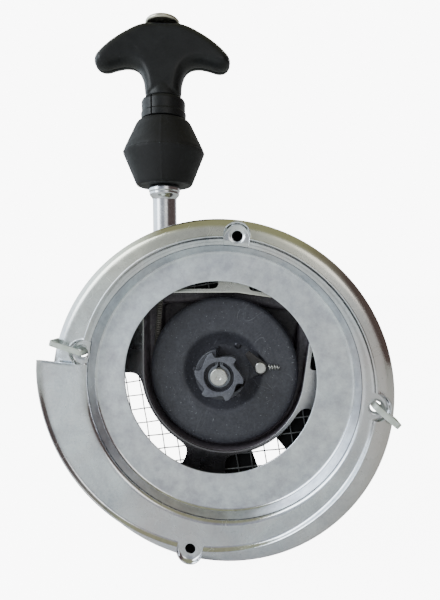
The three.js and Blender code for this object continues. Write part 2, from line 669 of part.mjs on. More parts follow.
add('pulley_front', pulleyFrontBored, darkSteel);
add('pulley_drum', pulleyDrum, darkSteel);
add('rope_coil', ropeCoil, cord);
add('hub_bush', hubBush, darkSteel);
add('ratchet_star', ratchetStar, darkSteel);
add('pawl_pin', pawlPin, brightSteel);
add('pawl_spring', pawlSpring, brightSteel);
for (const [i, deg] of [60, 180, 300].entries()) {
  add(`pulley_rivet_${i + 1}`, rivet(deg), zincDark);
}
add('pawl', pawl, darkSteel);

add('handle', handle, plastic);
add('handle_cap', handleCap, brightSteel);
add('handle_collar', handleCollar, plastic);
add('rope_knot', ropeKnot, cord);
add('knot_washer', knotWasher, zincDark);
add('rope_tail', ropeTail, cord);

export default starter;
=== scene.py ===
"""Recoil starter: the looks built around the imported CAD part.

Lengths are in millimetres until a mesh is made, and metres after that.
+Z is up, +X runs across, and +Y points away from the engine, along the pulley's axis.
"""
from math import atan2, cos, exp, hypot, pi, sin, sqrt

import bmesh
import bpy
import numpy as np
from mathutils import Matrix, Vector


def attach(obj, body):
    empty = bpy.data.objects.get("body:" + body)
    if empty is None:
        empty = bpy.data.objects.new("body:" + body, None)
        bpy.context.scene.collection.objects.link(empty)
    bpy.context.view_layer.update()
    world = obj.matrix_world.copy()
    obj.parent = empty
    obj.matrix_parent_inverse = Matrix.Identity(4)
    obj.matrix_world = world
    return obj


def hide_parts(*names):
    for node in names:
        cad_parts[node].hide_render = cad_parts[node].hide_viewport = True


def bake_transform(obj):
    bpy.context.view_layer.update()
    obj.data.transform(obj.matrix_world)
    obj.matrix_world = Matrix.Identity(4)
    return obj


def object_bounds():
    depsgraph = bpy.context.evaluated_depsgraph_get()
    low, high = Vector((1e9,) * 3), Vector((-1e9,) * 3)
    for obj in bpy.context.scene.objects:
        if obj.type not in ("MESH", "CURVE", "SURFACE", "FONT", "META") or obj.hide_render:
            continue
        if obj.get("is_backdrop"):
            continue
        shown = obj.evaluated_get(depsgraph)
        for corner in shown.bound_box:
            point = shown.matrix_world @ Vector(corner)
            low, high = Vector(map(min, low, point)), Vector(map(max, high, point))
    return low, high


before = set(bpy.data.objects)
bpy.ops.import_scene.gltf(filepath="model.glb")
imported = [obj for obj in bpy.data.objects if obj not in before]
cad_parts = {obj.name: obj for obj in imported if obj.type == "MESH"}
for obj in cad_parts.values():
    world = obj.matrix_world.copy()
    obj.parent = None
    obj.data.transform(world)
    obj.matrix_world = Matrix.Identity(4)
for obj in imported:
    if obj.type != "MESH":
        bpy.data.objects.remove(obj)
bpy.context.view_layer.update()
MM = 0.001
RAD = pi / 180

# ---- dimensions shared with the CAD ----
SHEET = 1.5
HOLE_R = 79.7
STEP_CENTRE = (2, -3)
STEP_OUTER_R = 112.5
STEP_INNER_R = 106.5
STEP_DEPTH = 13
LIP_HEIGHT = 3
BRIM_CENTRE = (-1.8, -10.7)
BRIM_R = 140
BRIM_HEM = 11
VOLUTE_CENTRE = (-0.6, -8.7)
VOLUTE_END_DEG = 174
VOLUTE_RADII = [
    (-186, 151.5), (-165, 145.2), (-145, 140.1), (-130, 136.4), (-120, 134.2), (-110, 131.7),
    (-105, 131.2), (-97, 130.4), (-90, 129), (-80, 127.4), (-71, 126.9), (-64, 126), (-58, 125),
    (-45, 124.5), (78, 124.5), (90, 123.8), (105, 123), (125, 121.8), (150, 117.7), (165, 115), (174, 113.8),
]
EAR_HOLES = [(17.5, 114.4), (-110.8, 22), (-22, -137.5), (122.7, -16.3)]
EAR_R = 10.5
EAR_REACH = 0.9
EAR_HOLE_R = 4.25
WALL_R = 108.3
WALL_MOUTH_R = 114.2
FACE_Y = 40
MOUTH_R = 70.5
MOUTH_TOP = 69.3
MOUTH_TILT_DEG = 8
SHELF_Y = 59
SHELF_INSET = 10
FLOOR_Y = 78
PULLEY_R = 66
PULLEY_FACE_Y = 42
DRUM_R = 48.5
ROPE_Y = 53.4
ROPE_D = 5
AXLE_R = 7.5
AXLE_END_Y = 16
STAR_Y = 17.5
STAR_R = 21
STAR_TEETH = 6
PIN = (33.5, 4.5)
PIN_R = 4.9
TUBE_X = -53.4
TUBE_R = 10.6
TUBE_TOP = 158
FLARE_R = 14
FLARE_TOP = 165
CONE_TOP = 222
COLLAR_BOTTOM = 223.5
COLLAR_TOP = 241.5
HANDLE_TURN_DEG = 10
HANDLE_TOP = 309.5
HANDLE_HALF_SPAN = 60
KNOT_Z = 281
ROPE_SPLIT_Z = 122
WINDOW_OUTER_R = 97
WINDOWS = {
    "left": (181.5, 246.5),
    "bottom": (271, 338.5),
    "right": (2, 22),
    "top_right": (47, 72.5),
    "top_left": (92, 126),
}


# ---- meshes ----
def full_turn(count):
    return np.linspace(0, 2 * pi, count, endpoint=False)


def add_object(name, data):
    obj = bpy.data.objects.new(name, data)
    bpy.context.scene.collection.objects.link(obj)
    return obj


def mesh_object(name, vertices, faces):
    mesh = bpy.data.meshes.new(name)
    mesh.from_pydata((np.asarray(vertices, float) * MM).tolist(), [], faces)
    return tidy_mesh(add_object(name, mesh))


def tidy_mesh(obj):
    """Merges doubled vertices and turns every face outward."""
    body = bmesh.new()
    body.from_mesh(obj.data)
    bmesh.ops.remove_doubles(body, verts=body.verts, dist=1e-6)
    bmesh.ops.dissolve_degenerate(body, edges=body.edges, dist=1e-7)
    bmesh.ops.recalc_face_normals(body, faces=body.faces)
    body.to_mesh(obj.data)
    body.free()
    return obj


def smooth(obj, angle=35):
    obj.data.shade_smooth()
    obj.data.set_sharp_from_angle(angle=angle * RAD)
    return obj


def finish_piece(obj, body, material, cad_node, angle=35):
    """Gives a piece its material and body, smooths it, and hides the CAD node that it stands for."""
    obj.data.materials.clear()
    obj.data.materials.append(material)
    smooth(obj, angle)
    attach(obj, body)
    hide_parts(cad_node)


def evaluated_mesh(obj):
    return bpy.data.meshes.new_from_object(obj.evaluated_get(bpy.context.evaluated_depsgraph_get()))


def bake(obj):
    """Applies the object's modifiers."""
    baked = evaluated_mesh(obj)
    obj.modifiers.clear()
    obj.data = baked
    return obj


def cut(obj, *tools):
    for tool in tools:
        modifier = obj.modifiers.new("cut", "BOOLEAN")
        modifier.object = tool
        modifier.operation = "DIFFERENCE"
        modifier.solver = "EXACT"
    bake(obj)
    for tool in tools:
        bpy.data.objects.remove(tool)
    return obj


def join(first, *others):
    """Puts the other objects' meshes into the first one's."""
    body = bmesh.new()
    for obj in (first, *others):
        copy = obj.data.copy()
        copy.transform(obj.matrix_world)
        body.from_mesh(copy)
        bpy.data.meshes.remove(copy)
    first.matrix_world = Matrix.Identity(4)
    body.to_mesh(first.data)
    body.free()
    for obj in others:
        bpy.data.objects.remove(obj)
    return first


def rounded(points, radius, steps=5, closed=True):
    """An outline whose corners are rounded. A third number in a point is its own radius."""
    out = []
    count = len(points)
    for i, point in enumerate(points):
        corner = np.array(point[:2], float)
        if not closed and i in (0, count - 1):
            out.append(corner)
            continue
        before = np.array(points[i - 1][:2], float) - corner
        after = np.array(points[(i + 1) % count][:2], float) - corner
        reach_of = point[2] if len(point) > 2 else radius
        size = [max(np.linalg.norm(side), 1e-9) for side in (before, after)]
        trim = min(reach_of, 0.48 * size[0], 0.48 * size[1])
        start = corner + before / size[0] * trim
        end = corner + after / size[1] * trim
        for t in np.linspace(0, 1, steps + 1):
            out.append((1 - t) ** 2 * start + 2 * t * (1 - t) * corner + t * t * end)
    return np.array(out)


def resample(points, count, closed=False):
    """The same line with points at equal steps."""
    line = np.vstack([points, points[:1]]) if closed else np.asarray(points, float)
    along = np.concatenate([[0], np.cumsum(np.linalg.norm(np.diff(line, axis=0), axis=1))])
    marks = np.linspace(0, along[-1], count, endpoint=not closed)
    return np.stack([np.interp(marks, along, line[:, k]) for k in range(line.shape[1])], axis=1)


def bent_line(points, fillet, count):
    return resample(rounded(points, fillet, 8, closed=False), count)


def sheet_section(line):
    """The closed section of a bent sheet round its middle line."""
    along = np.gradient(line, axis=0)
    along /= np.linalg.norm(along, axis=1)[:, None]
    across = np.stack([-along[:, 1], along[:, 0]], axis=1) * SHEET / 2
    turn = np.linspace(0, pi, 6)[1:-1]
    end = [line[-1] + across[-1] * cos(a) + along[-1] * SHEET / 2 * sin(a) for a in turn]
    start = [line[0] - across[0] * cos(a) - along[0] * SHEET / 4 * sin(a) for a in turn]
    return np.vstack([line + across, end, (line - across)[::-1], start])


def skin(name, rows, rows_closed=True):
    """A surface through rows of points."""
    rows = np.asarray(rows, float)
    count, width = rows.shape[:2]
    faces = []
    for i in range(count if rows_closed else count - 1):
        k = (i + 1) % count
        for j in range(width):
            m = (j + 1) % width
            faces.append((i * width + j, k * width + j, k * width + m, i * width + m))
    return mesh_object(name, rows.reshape(-1, 3), faces)


def turned(name, profile, segments=96, centre=(0, 0), upright=False):
    """A turned piece about Y, or about Z when upright. The profile is a closed list of (radius, height)."""
    profile = np.asarray(profile, float)[:, :2]
    rows = []
    for angle in full_turn(segments):
        across, along = profile[:, 0] * cos(angle), profile[:, 0] * sin(angle)
        if upright:
            rows.append(np.stack([centre[0] + across, centre[1] + along, profile[:, 1]], axis=1))
        else:
            rows.append(np.stack([centre[0] + across, profile[:, 1], centre[1] + along], axis=1))
    return skin(name, rows)


def bar(radius, y0, y1, centre=(0, 0), segments=48, upright=False):
    return turned("tool", [(0, y0), (radius, y0), (radius, y1), (0, y1)], segments, centre, upright)


def slab(name, outline, y0, y1, edge=0.0, holes=()):
    """A plate cut to an outline of (x, z) points, from y0 to y1, with rounded edges."""
    curve = bpy.data.curves.new(name, "CURVE")
    curve.dimensions = "2D"
    curve.fill_mode = "BOTH"
    for loop in (outline, *holes):
        spline = curve.splines.new("POLY")
        spline.points.add(len(loop) - 1)
        for point, (x, z) in zip(spline.points, loop):
            point.co = (x * MM, z * MM, 0, 1)
        spline.use_cyclic_u = True
    curve.extrude = ((y1 - y0) / 2 - edge) * MM
    curve.bevel_depth = edge * MM
    curve.offset = -edge * MM
    curve.bevel_resolution = 3
    made = add_object(name, curve)
    mesh = evaluated_mesh(made)
    bpy.data.objects.remove(made)
    mesh.transform(Matrix.Translation((0, (y0 + y1) / 2 * MM, 0)) @ Matrix.Rotation(pi / 2, 4, "X"))
    return tidy_mesh(add_object(name, mesh))


def frames_along(path):
    """Unit vectors along and across a path, without twist."""
    along = np.gradient(np.asarray(path, float), axis=0)
    along /= np.linalg.norm(along, axis=1)[:, None]
    side = np.cross(along[0], (0.13, 0.9, 0.41))
    sides = []
    for step in along:
        side = side - step * (side @ step)
        side = side / np.linalg.norm(side)
        sides.append(side)
    return np.array(sides), np.cross(along, sides)


def tube(name, path, radius, sides=10):
    """A round tube along a path, with a cap at each end."""
    path = np.asarray(path, float)
    side, up = frames_along(path)
    radii = np.broadcast_to(radius, len(path))
    turns = full_turn(sides)
    rows = [p + r * (np.cos(turns)[:, None] * s + np.sin(turns)[:, None] * u)
            for p, r, s, u in zip(path, radii, side, up)]
    rows = [np.repeat(path[:1], sides, axis=0), *rows, np.repeat(path[-1:], sides, axis=0)]
    return skin(name, rows, rows_closed=False)


def polar(angle, radius):
    return radius * cos(angle), radius * sin(angle)


def circle(radius, count, centre=(0, 0)):
    return [(centre[0] + radius * cos(a), centre[1] + radius * sin(a))
            for a in full_turn(count)]


def turned_section(section, angle):
    """A section of (radius, y) points, stood at an angle about the Y axis."""
    c, s = cos(angle), sin(angle)
    return np.stack([section[:, 0] * c, section[:, 1], section[:, 0] * s], axis=1)


def reach(angle, centre, radius):
    """Distance from the origin, along an angle, to the far side of a circle."""
    along = centre[0] * cos(angle) + centre[1] * sin(angle)
    across = centre[0] * sin(angle) - centre[1] * cos(angle)
    return along + sqrt(max(radius * radius - across * across, 0))


def smooth_step(low, high, value):
    t = np.clip((np.asarray(value, float) - low) / (high - low), 0, 1)
    return t * t * (3 - 2 * t)


# ---- materials ----
tree = None


def start_tree(owner):
    """From here on, new nodes go into this material's or world's tree."""
    global tree
    owner.use_nodes = True
    tree = owner.node_tree
    return tree


class Value:
    """A node's output. Arithmetic on it adds maths nodes."""
    def __init__(self, socket):
        self.socket = socket

    def __add__(self, other):
        return maths("ADD", self, other)

    def __sub__(self, other):
        return maths("SUBTRACT", self, other)

    def __mul__(self, other):
        return maths("MULTIPLY", self, other)

    def __truediv__(self, other):
        return maths("DIVIDE", self, other)


def feed(socket, value):
    """Links a Value to a socket, or sets the socket itself."""
    if isinstance(value, Value):
        tree.links.new(value.socket, socket)
    else:
        socket.default_value = value


def put(shader, **sockets):
    for key, value in sockets.items():
        feed(shader.inputs[key.replace("_", " ")], value)


def node(kind, inputs=None, **settings):
    made = tree.nodes.new("ShaderNode" + kind)
    for key, value in settings.items():
        setattr(made, key, value)
    for key, value in (inputs or {}).items():
        feed(made.inputs[key], value)
    return made


def out(kind, output, inputs=None, **settings):
    return Value(node(kind, inputs, **settings).outputs[output])


def new_material(name, **sockets):
    """A material and its shader, with plain numbers set on the shader's own sockets."""
    made = bpy.data.materials.new(name)
    shader = start_tree(made).nodes["Principled BSDF"]
    put(shader, **sockets)
    return made, shader


def place():
    """A point's place on the piece, in metres."""
    return out("TexCoord", "Object")


def noise(scale, detail=4.0, roughness=0.55, distortion=0.0, output="Fac"):
    return out("TexNoise", output, {"Vector": place(), "Scale": scale, "Detail": detail,
                                    "Roughness": roughness, "Distortion": distortion})


def ramp(value, *stops):
    """A colour or grey for each stop of (position, colour or grey)."""
    made = node("ValToRGB", {"Fac": value})
    stops = [(at, (c, c, c) if isinstance(c, (int, float)) else c) for at, c in stops]
    elements = made.color_ramp.elements
    elements[0].position, elements[0].color = stops[0][0], (*stops[0][1], 1)
    elements[1].position, elements[1].color = stops[-1][0], (*stops[-1][1], 1)
    for at, colour in stops[1:-1]:
        elements.new(at).color = (*colour, 1)
    return Value(made.outputs["Color"])


def mix(factor, a, b, blend_type="MIX"):
    a, b = [c if isinstance(c, Value) else (*c, 1) for c in (a, b)]
    return out("Mix", 2, {0: factor, 6: a, 7: b}, data_type="RGBA", blend_type=blend_type)


def maths(operation, a, b=0.0):
    return out("Math", 0, {0: a, 1: b}, operation=operation)


def split(vector):
    """The X, Y and Z of a vector."""
    return [Value(part) for part in node("SeparateXYZ", {"Vector": vector}).outputs]


def between(value, low, high):
    """0 at low, 1 at high, and straight between them."""
    return out("MapRange", "Result", {"Value": value, "From Min": low, "From Max": high})


def scratches(scale, angle, thin=0.012):
    """Thin lines that wander about one direction, broken up by a noise."""
    bent = mix(0.035, place(), noise(22.0, 1.0, 0.5, output="Color"), "LINEAR_LIGHT")
    turned_place = out("Mapping", "Vector", {"Vector": bent, "Rotation": (0, angle, 0),
                                             "Scale": (scale, scale, scale * 0.1)})
    edge = out("TexVoronoi", "Distance", {"Vector": turned_place, "Scale": 1.0}, feature="DISTANCE_TO_EDGE")
    return ramp(edge, (0.0, 1.0), (thin, 0.0)) * ramp(noise(60), (0.52, 0.0), (0.62, 1.0))


def set_bump(shader, height, strength, distance):
    put(shader, Normal=out("Bump", "Normal", {"Height": height, "Strength": strength, "Distance": distance}))


def zinc_sheet(name, matt_ring=False, painted_light_tint=0.0, holes=()):
    """Zinc-plated sheet: clouded, with fine grain, small dark specks and burnished bends. A tint adds painted
    reflections, olive above and brown to the right, and painted shade on the lower left of the front face; holes add
    painted shade round each hole.
    """
    made, shader = new_material(name, Metallic=1.0)
    cloud = noise(24, 6, 0.62, distortion=0.6)
    grain = noise(420, 3, 0.7)
    colour = ramp(cloud, (0.3, (0.44, 0.47, 0.53)), (0.5, (0.60, 0.64, 0.69)), (0.7, (0.76, 0.81, 0.85)))
    colour = mix(0.4, colour, ramp(grain, (0.3, 0.4), (0.7, 0.85)), "OVERLAY")
    colour = mix(ramp(noise(13, 4, 0.6), (0.42, 0.0), (0.70, 0.75)), colour, (0.58, 0.52, 0.52))
    x, y, z = split(place())
    if painted_light_tint:
        # Painted shade: the front face goes dark on its lower-left half.
        painted_shade_lower_left = between(x * 0.6 + z, 0.03, -0.03) * between(y, 0.032, 0.038)
        colour = mix(painted_shade_lower_left * 0.8, colour, (0.07, 0.065, 0.075))
        # Painted reflections: olive towards the top and brown towards the right.
        colour = mix(between(z, 0.02, 0.11) * painted_light_tint, colour, (0.60, 0.59, 0.44))
        colour = mix(between(x, 0.05, 0.13) * (painted_light_tint * 0.8), colour, (0.56, 0.50, 0.47))
    colour = mix(ramp(noise(900, 2, 0.5), (0.68, 0.0), (0.74, 0.7)), colour, (0.20, 0.21, 0.23))
    # Painted shade: the colour goes near-black within about 7 mm of each bolt hole, so the holes look dark.
    for hole_x, hole_z in holes:
        away = maths("POWER", x - hole_x * MM, 2.0) + maths("POWER", z - hole_z * MM, 2.0)
        colour = mix(between(away, 0.0095 ** 2, 0.007 ** 2), colour, (0.03, 0.03, 0.03))
    rough = ramp(cloud, (0.3, 0.20), (0.7, 0.33))
    if matt_ring:
        ring = between(y, 0.0105, 0.0126)
        rough = mix(ring, rough, ramp(noise(90, 6, 0.7), (0.3, 0.34), (0.7, 0.50)))
        blotch = ramp(noise(70, 7, 0.74), (0.32, (0.40, 0.41, 0.49)), (0.66, (0.86, 0.92, 0.95)))
        colour = mix(ring * 0.65, colour, blotch)
    facing = maths("ABSOLUTE", split(out("TexCoord", "Normal"))[1])
    rough = mix(between(facing, 0.97, 0.85), rough, (0.13, 0.13, 0.13))
    rough = mix(scratches(55, 0.6) * 0.6, rough, (0.55, 0.55, 0.55))
    put(shader, Base_Color=colour, Roughness=rough)
    set_bump(shader, grain * 0.5 + cloud * 1.5, 0.10, 0.0006)
    return made


def plated(name, colour, roughness=0.3):
    """Small plated or turned steel pieces."""
    made, shader = new_material(name, Metallic=1.0)
    tinted = mix(ramp(noise(240, 4, 0.6), (0.35, 0.0), (0.7, 0.5)), colour, [c * 0.62 for c in colour])
    put(shader, Base_Color=tinted, Roughness=ramp(noise(700, 3), (0.3, roughness * 0.8), (0.7, roughness * 1.4)))
    set_bump(shader, noise(1600, 2), 0.12, 0.0002)
    return made


def painted(name, colour, dust, roughness=0.42, metallic=0.0):
    """Thin dark paint or phosphate with dust, pale specks and scratches."""
    made, shader = new_material(name, Metallic=metallic)
    tone = mix(ramp(noise(38, 6, 0.65, 0.4), (0.35, 0.0), (0.7, 0.75)), colour, dust)
    tone = mix(1.0, tone, ramp(noise(520, 3, 0.7), (0.35, 0.75), (0.7, 1.2)), "MULTIPLY")
    tone = mix(ramp(noise(620, 2, 0.4), (0.70, 0.0), (0.73, 0.5)), tone, (0.30, 0.31, 0.34))
    marks = maths("MAXIMUM", scratches(60, 1.1, 0.006), scratches(48, -0.7, 0.005))
    tone = mix(marks * 0.3, tone, (0.30, 0.31, 0.34))
    put(shader, Base_Color=tone,
        Roughness=ramp(noise(120, 5, 0.7), (0.3, roughness * 0.8), (0.7, roughness * 1.3)))
    set_bump(shader, noise(900, 3) - marks * 0.6, 0.2, 0.0003)
    return made


def moulded(name, colour, roughness, grain=900, depth=0.25):
    """Moulded plastic or rubber with a fine skin and faint scuffs."""
    made, shader = new_material(name, Specular_IOR_Level=0.28)
    paler = [c * 1.7 + 0.002 for c in colour]
    tone = mix(ramp(noise(45, 5, 0.65), (0.4, 0.0), (0.75, 0.8)), colour, paler)
    tone = mix(scratches(60, 1.2, 0.01) * 0.25, tone, (0.10, 0.10, 0.11))
    put(shader, Base_Color=tone,
        Roughness=ramp(noise(180, 4), (0.3, roughness * 0.85), (0.7, roughness * 1.15)))
    set_bump(shader, noise(grain, 3, 0.6), depth, 0.0003)
    return made


def nylon(name):
    made, shader = new_material(name, Transmission_Weight=0.3, Subsurface_Weight=0.4,
                                Subsurface_Radius=(0.004, 0.004, 0.0035), IOR=1.5)
    tone = ramp(noise(110, 4), (0.35, (0.66, 0.72, 0.66)), (0.7, (0.84, 0.88, 0.84)))
    put(shader, Base_Color=tone, Roughness=ramp(noise(200), (0.3, 0.28), (0.7, 0.42)))
    set_bump(shader, noise(500, 3), 0.1, 0.0002)
    return made


STRAND_PITCH = 0.0042
COIL_RADIUS = 0.058
COIL_START = 0.0485
COIL_PITCH = 0.0054


def braid(name, round_pulley=False):
    """Braided cord. Its crossing strands are worked out from the point's place on the cord."""
    made, shader = new_material(name, Roughness=0.85, Sheen_Weight=0.25)
    x, y, z = split(place())
    across = y - ROPE_Y * MM
    if round_pulley:
        along = maths("ARCTAN2", z, x) * COIL_RADIUS
        ring = maths("FRACT", (maths("SQRT", x * x + z * z) - COIL_START) / COIL_PITCH)
        turn = maths("ARCTAN2", across, (ring - 0.5) * COIL_PITCH)
    else:
        along = z
        turn = maths("ARCTAN2", across, x - TUBE_X * MM)
    one_way, other_way = [
        maths("ABSOLUTE", maths("SINE", along * (2 * pi / STRAND_PITCH) + turn * hand)) for hand in (4.0, -4.0)]
    strands = one_way * other_way
    # The colour is darkest in the gaps between strands: painted shade.
    tone = ramp(strands, (0.0, (0.035, 0.032, 0.03)), (0.35, (0.13, 0.12, 0.11)), (0.9, (0.26, 0.25, 0.23)))
    tone = mix(ramp(noise(1500, 2), (0.4, 0.0), (0.7, 0.5)), tone, (0.07, 0.062, 0.055))
    put(shader, Base_Color=tone)
    set_bump(shader, strands, 0.8, 0.0006)
    return made


ZINC_PLATE = zinc_sheet("zinc plate", matt_ring=True, painted_light_tint=0.12)
ZINC_COWL = zinc_sheet("zinc cowl", painted_light_tint=0.75, holes=EAR_HOLES)
ZINC_TUBE = zinc_sheet("zinc tube")
HARDWARE = plated("yellowish zinc", (0.62, 0.60, 0.50), 0.34)
TURNED_STEEL = plated("turned steel", (0.62, 0.62, 0.60), 0.3)
WIRE = plated("galvanised wire", (0.17, 0.175, 0.18), 0.55)
SPRING_STEEL = plated("spring steel", (0.20, 0.21, 0.24), 0.35)
BRASS = plated("brass", (0.70, 0.52, 0.24), 0.3)
BLACK_PAINT = painted("housing paint", (0.085, 0.076, 0.092), (0.14, 0.12, 0.14), 0.40)
PHOSPHATE = painted("pulley phosphate", (0.046, 0.047, 0.060), (0.070, 0.072, 0.088), 0.40, 0.2)
STAR_STEEL = painted("star steel", (0.105, 0.108, 0.135), (0.15, 0.155, 0.18), 0.36, 0.4)
# The pawl's colour is darker than its steel: painted shade for the deep pocket that it swings in.
PAWL_IN_PAINTED_SHADE = painted("pawl steel in painted shade", (0.016, 0.014, 0.015), (0.026, 0.022, 0.022), 0.5)
OILED_ZINC = plated("oiled zinc", (0.06, 0.06, 0.07), 0.4)
RUBBER = moulded("rubber", (0.007, 0.007, 0.008), 0.6, 700, 0.35)
PLASTIC = moulded("handle plastic", (0.006, 0.0065, 0.0075), 0.42, 1100, 0.25)
NYLON = nylon("nylon")
CORD = braid("cord")
CORD_ON_PULLEY = braid("cord on pulley", round_pulley=True)


# ---- volute plate ----
def volute_radius(deg):
    if deg > VOLUTE_END_DEG:
        deg -= 360
    near = np.clip(deg + np.arange(-6, 7, 3), -186, VOLUTE_END_DEG)
    return float(np.mean(np.interp(near, *zip(*VOLUTE_RADII))))


def smooth_max(a, b, width):
    h = max(width - abs(a - b), 0) / width
    return max(a, b) + h * h * width / 4


def plate_edge(angle):
    radius = reach(angle, VOLUTE_CENTRE, volute_radius(angle / RAD))
    for hole in EAR_HOLES:
        out = 1 + EAR_REACH / hypot(*hole)
        centre = (hole[0] * out, hole[1] * out)
        across = centre[0] * sin(angle) - centre[1] * cos(angle)
        ahead = centre[0] * cos(angle) + centre[1] * sin(angle) > 0
        if ahead and abs(across) < EAR_R:
            radius = smooth_max(radius, reach(angle, centre, EAR_R), 7)
    return radius


def plate_angles():
    """Even steps, with closer ones round each ear and at the volute's end."""
    degrees = list(np.arange(0, 360, 0.5))
    for x, z in EAR_HOLES:
        middle = atan2(z, x) / RAD % 360
        degrees += list((middle + np.arange(-7, 7, 0.2)) % 360)
    degrees += list(VOLUTE_END_DEG + np.arange(-0.2, 3, 0.13))
    degrees = np.unique(np.round(degrees, 2))
    return [deg * RAD for deg in degrees[np.concatenate([[True], np.diff(degrees) > 0.03])]]


def volute_plate():
    middle = SHEET / 2
    rows = []
    for angle in plate_angles():
        edge = plate_edge(angle)
        inner = reach(angle, STEP_CENTRE, STEP_INNER_R)
        outer = reach(angle, STEP_CENTRE, STEP_OUTER_R)
        half_way = ((inner + outer) / 2 - 0.15, STEP_DEPTH / 2 + middle)
        section = sheet_section(np.vstack([
            bent_line([(HOLE_R, STEP_DEPTH + middle), (inner + 0.6, STEP_DEPTH + middle, 3.5), half_way], 3, 28),
            bent_line([half_way, (outer - 0.9, middle, 3.5), (edge - 3.2, middle, 2.6),
                       (edge - middle, -LIP_HEIGHT + 0.6)], 3, 30)[1:],
        ]))
        rows.append(turned_section(section, angle))
    rows = np.array(rows)
    shape_ears(rows)
    plate = skin("volute_plate_sheet", rows)
    return cut(plate, *[bar(EAR_HOLE_R, -8, 10, hole) for hole in EAR_HOLES])


def shape_ears(rows):
    """Rolls the sheet in at each bolt hole and turns it up along the volute's end."""
    for x, z in EAR_HOLES:
        away = np.hypot(rows[..., 0] - x, rows[..., 2] - z)
        rows[..., 1] += 0.9 * np.exp(-(np.maximum(away - EAR_HOLE_R, 0) / 1.5) ** 2)
    angle = np.arctan2(rows[..., 2], rows[..., 0]) / RAD % 360
    radius = np.hypot(rows[..., 0], rows[..., 2])
    past = (angle - VOLUTE_END_DEG) * RAD * radius
    near = (past > -0.1) & (past < 4)
    rise = LIP_HEIGHT * (1 - np.clip(past, 0, 4) / 4) ** 2 * smooth_step(116, 121, radius)
    low = np.clip((LIP_HEIGHT + rows[..., 1]) / LIP_HEIGHT, 0, 1)
    rows[..., 1] -= np.where(near, rise * low, 0)


finish_piece(volute_plate(), "base", ZINC_PLATE, "volute_plate", 50)


# ---- D-shaped outlines ----
def d_outline(inset, points=240):
    """The housing mouth's outline, moved in by an inset: round below, flat above, leaning on the right."""
    radius, top = MOUTH_R - inset, MOUTH_TOP - inset
    corner = max(8 - 0.2 * inset, 3)
    tilt = MOUTH_TILT_DEG * RAD
    line = [polar(deg * RAD, radius) for deg in np.arange(180, 360 - MOUTH_TILT_DEG + 0.01, 2)]
    roof = top + 0.012 * radius

    def arc(x, z, start, lean):
        for deg in range(0, 91, 9):
            px = x + corner * cos((start + deg) * RAD)
            pz = z + corner * sin((start + deg) * RAD)
            if lean:
                px, pz = px * cos(tilt) + pz * sin(tilt), pz * cos(tilt) - px * sin(tilt)
            line.append((px, pz))

    arc(radius - corner, roof - corner, 0, True)
    line.append((13, top))
    arc(-radius + corner, top - corner, 90, False)
    return resample(np.array(line), points, closed=True)


def outline_reach(outline, angle):
    """Radius of a closed outline along an angle."""
    c, s = cos(angle), sin(angle)
    side = outline[:, 0] * s - outline[:, 1] * c
    after = np.roll(side, -1)
    nxt = np.roll(outline, -1, axis=0)
    for i in np.nonzero((side * after <= 0) & (side != after))[0]:
        part = side[i] / (side[i] - after[i])
        x, z = outline[i] + (nxt[i] - outline[i]) * part
        if x * c + z * s > 0:
            return hypot(x, z)
    return 0.0


# ---- cowl and its screens ----
def window_outline(start, end, grow=0.0):
    rim = d_outline(-3.4 + grow / 3)
    pad = grow / 88 / RAD
    degrees = np.linspace(start - pad, end + pad, 24)
    outer = [polar(deg * RAD, WINDOW_OUTER_R + grow) for deg in degrees]
    inner = [polar(deg * RAD, outline_reach(rim, deg * RAD)) for deg in degrees[::-1]]
    return resample(np.array(outer + inner), 160, closed=True)


def rounded_window(start, end):
    """The window's outline with its corners drawn in."""
    line = window_outline(start, end)
    for _ in range(45):
        line = (np.roll(line, 1, axis=0) + 2 * line + np.roll(line, -1, axis=0)) / 4
    return line


def cowl():
    mouth = d_outline(0, 480)
    middle = SHEET / 2
    top = SHEET + 0.3 + middle
    rows = []
    for angle in full_turn(480):
        rim = reach(angle, BRIM_CENTRE, BRIM_R) - middle
        wall = reach(angle, STEP_CENTRE, WALL_R) + middle
        throat = reach(angle, STEP_CENTRE, WALL_MOUTH_R) + middle
        section = sheet_section(bent_line([
            (outline_reach(mouth, angle) + 0.3, FACE_Y + middle), (wall, FACE_Y + middle, 8),
            (wall, STEP_DEPTH + 4.5, 3), (throat, top + 0.4, 2), (rim - 5, top + 1.3, 4),
            (rim, top + 5.5, 4), (rim, BRIM_HEM),
        ], 3, 84))
        rows.append(turned_section(section, angle))
    body = skin("cowl_shell", np.array(rows))
    tools = [slab("tool", rounded_window(*span), FACE_Y - 4, FACE_Y + 6) for span in WINDOWS.values()]
    tools += [bar(EAR_HOLE_R + 0.5, -5, 20, hole) for hole in EAR_HOLES]
    return cut(body, *tools)


finish_piece(cowl(), "base", ZINC_COWL, "cowl", 40)

WIRE_PITCH = 12.7
WIRE_R = 0.58
WIRE_TURN_DEG = 9
WIRE_CROSSING = (-75.6, -10.1)


def inside(points, outline):
    """Which points lie inside a closed outline."""
    x, z = points[:, :1], points[:, 1:]
    ax, az = outline[:, 0], outline[:, 1]
    bx, bz = np.roll(ax, -1), np.roll(az, -1)
    spans = (az > z) != (bz > z)
    with np.errstate(divide="ignore", invalid="ignore"):
        crossing = ax + (z - az) / (bz - az) * (bx - ax)
    return (np.sum(spans & (x < crossing), axis=1) % 2) == 1


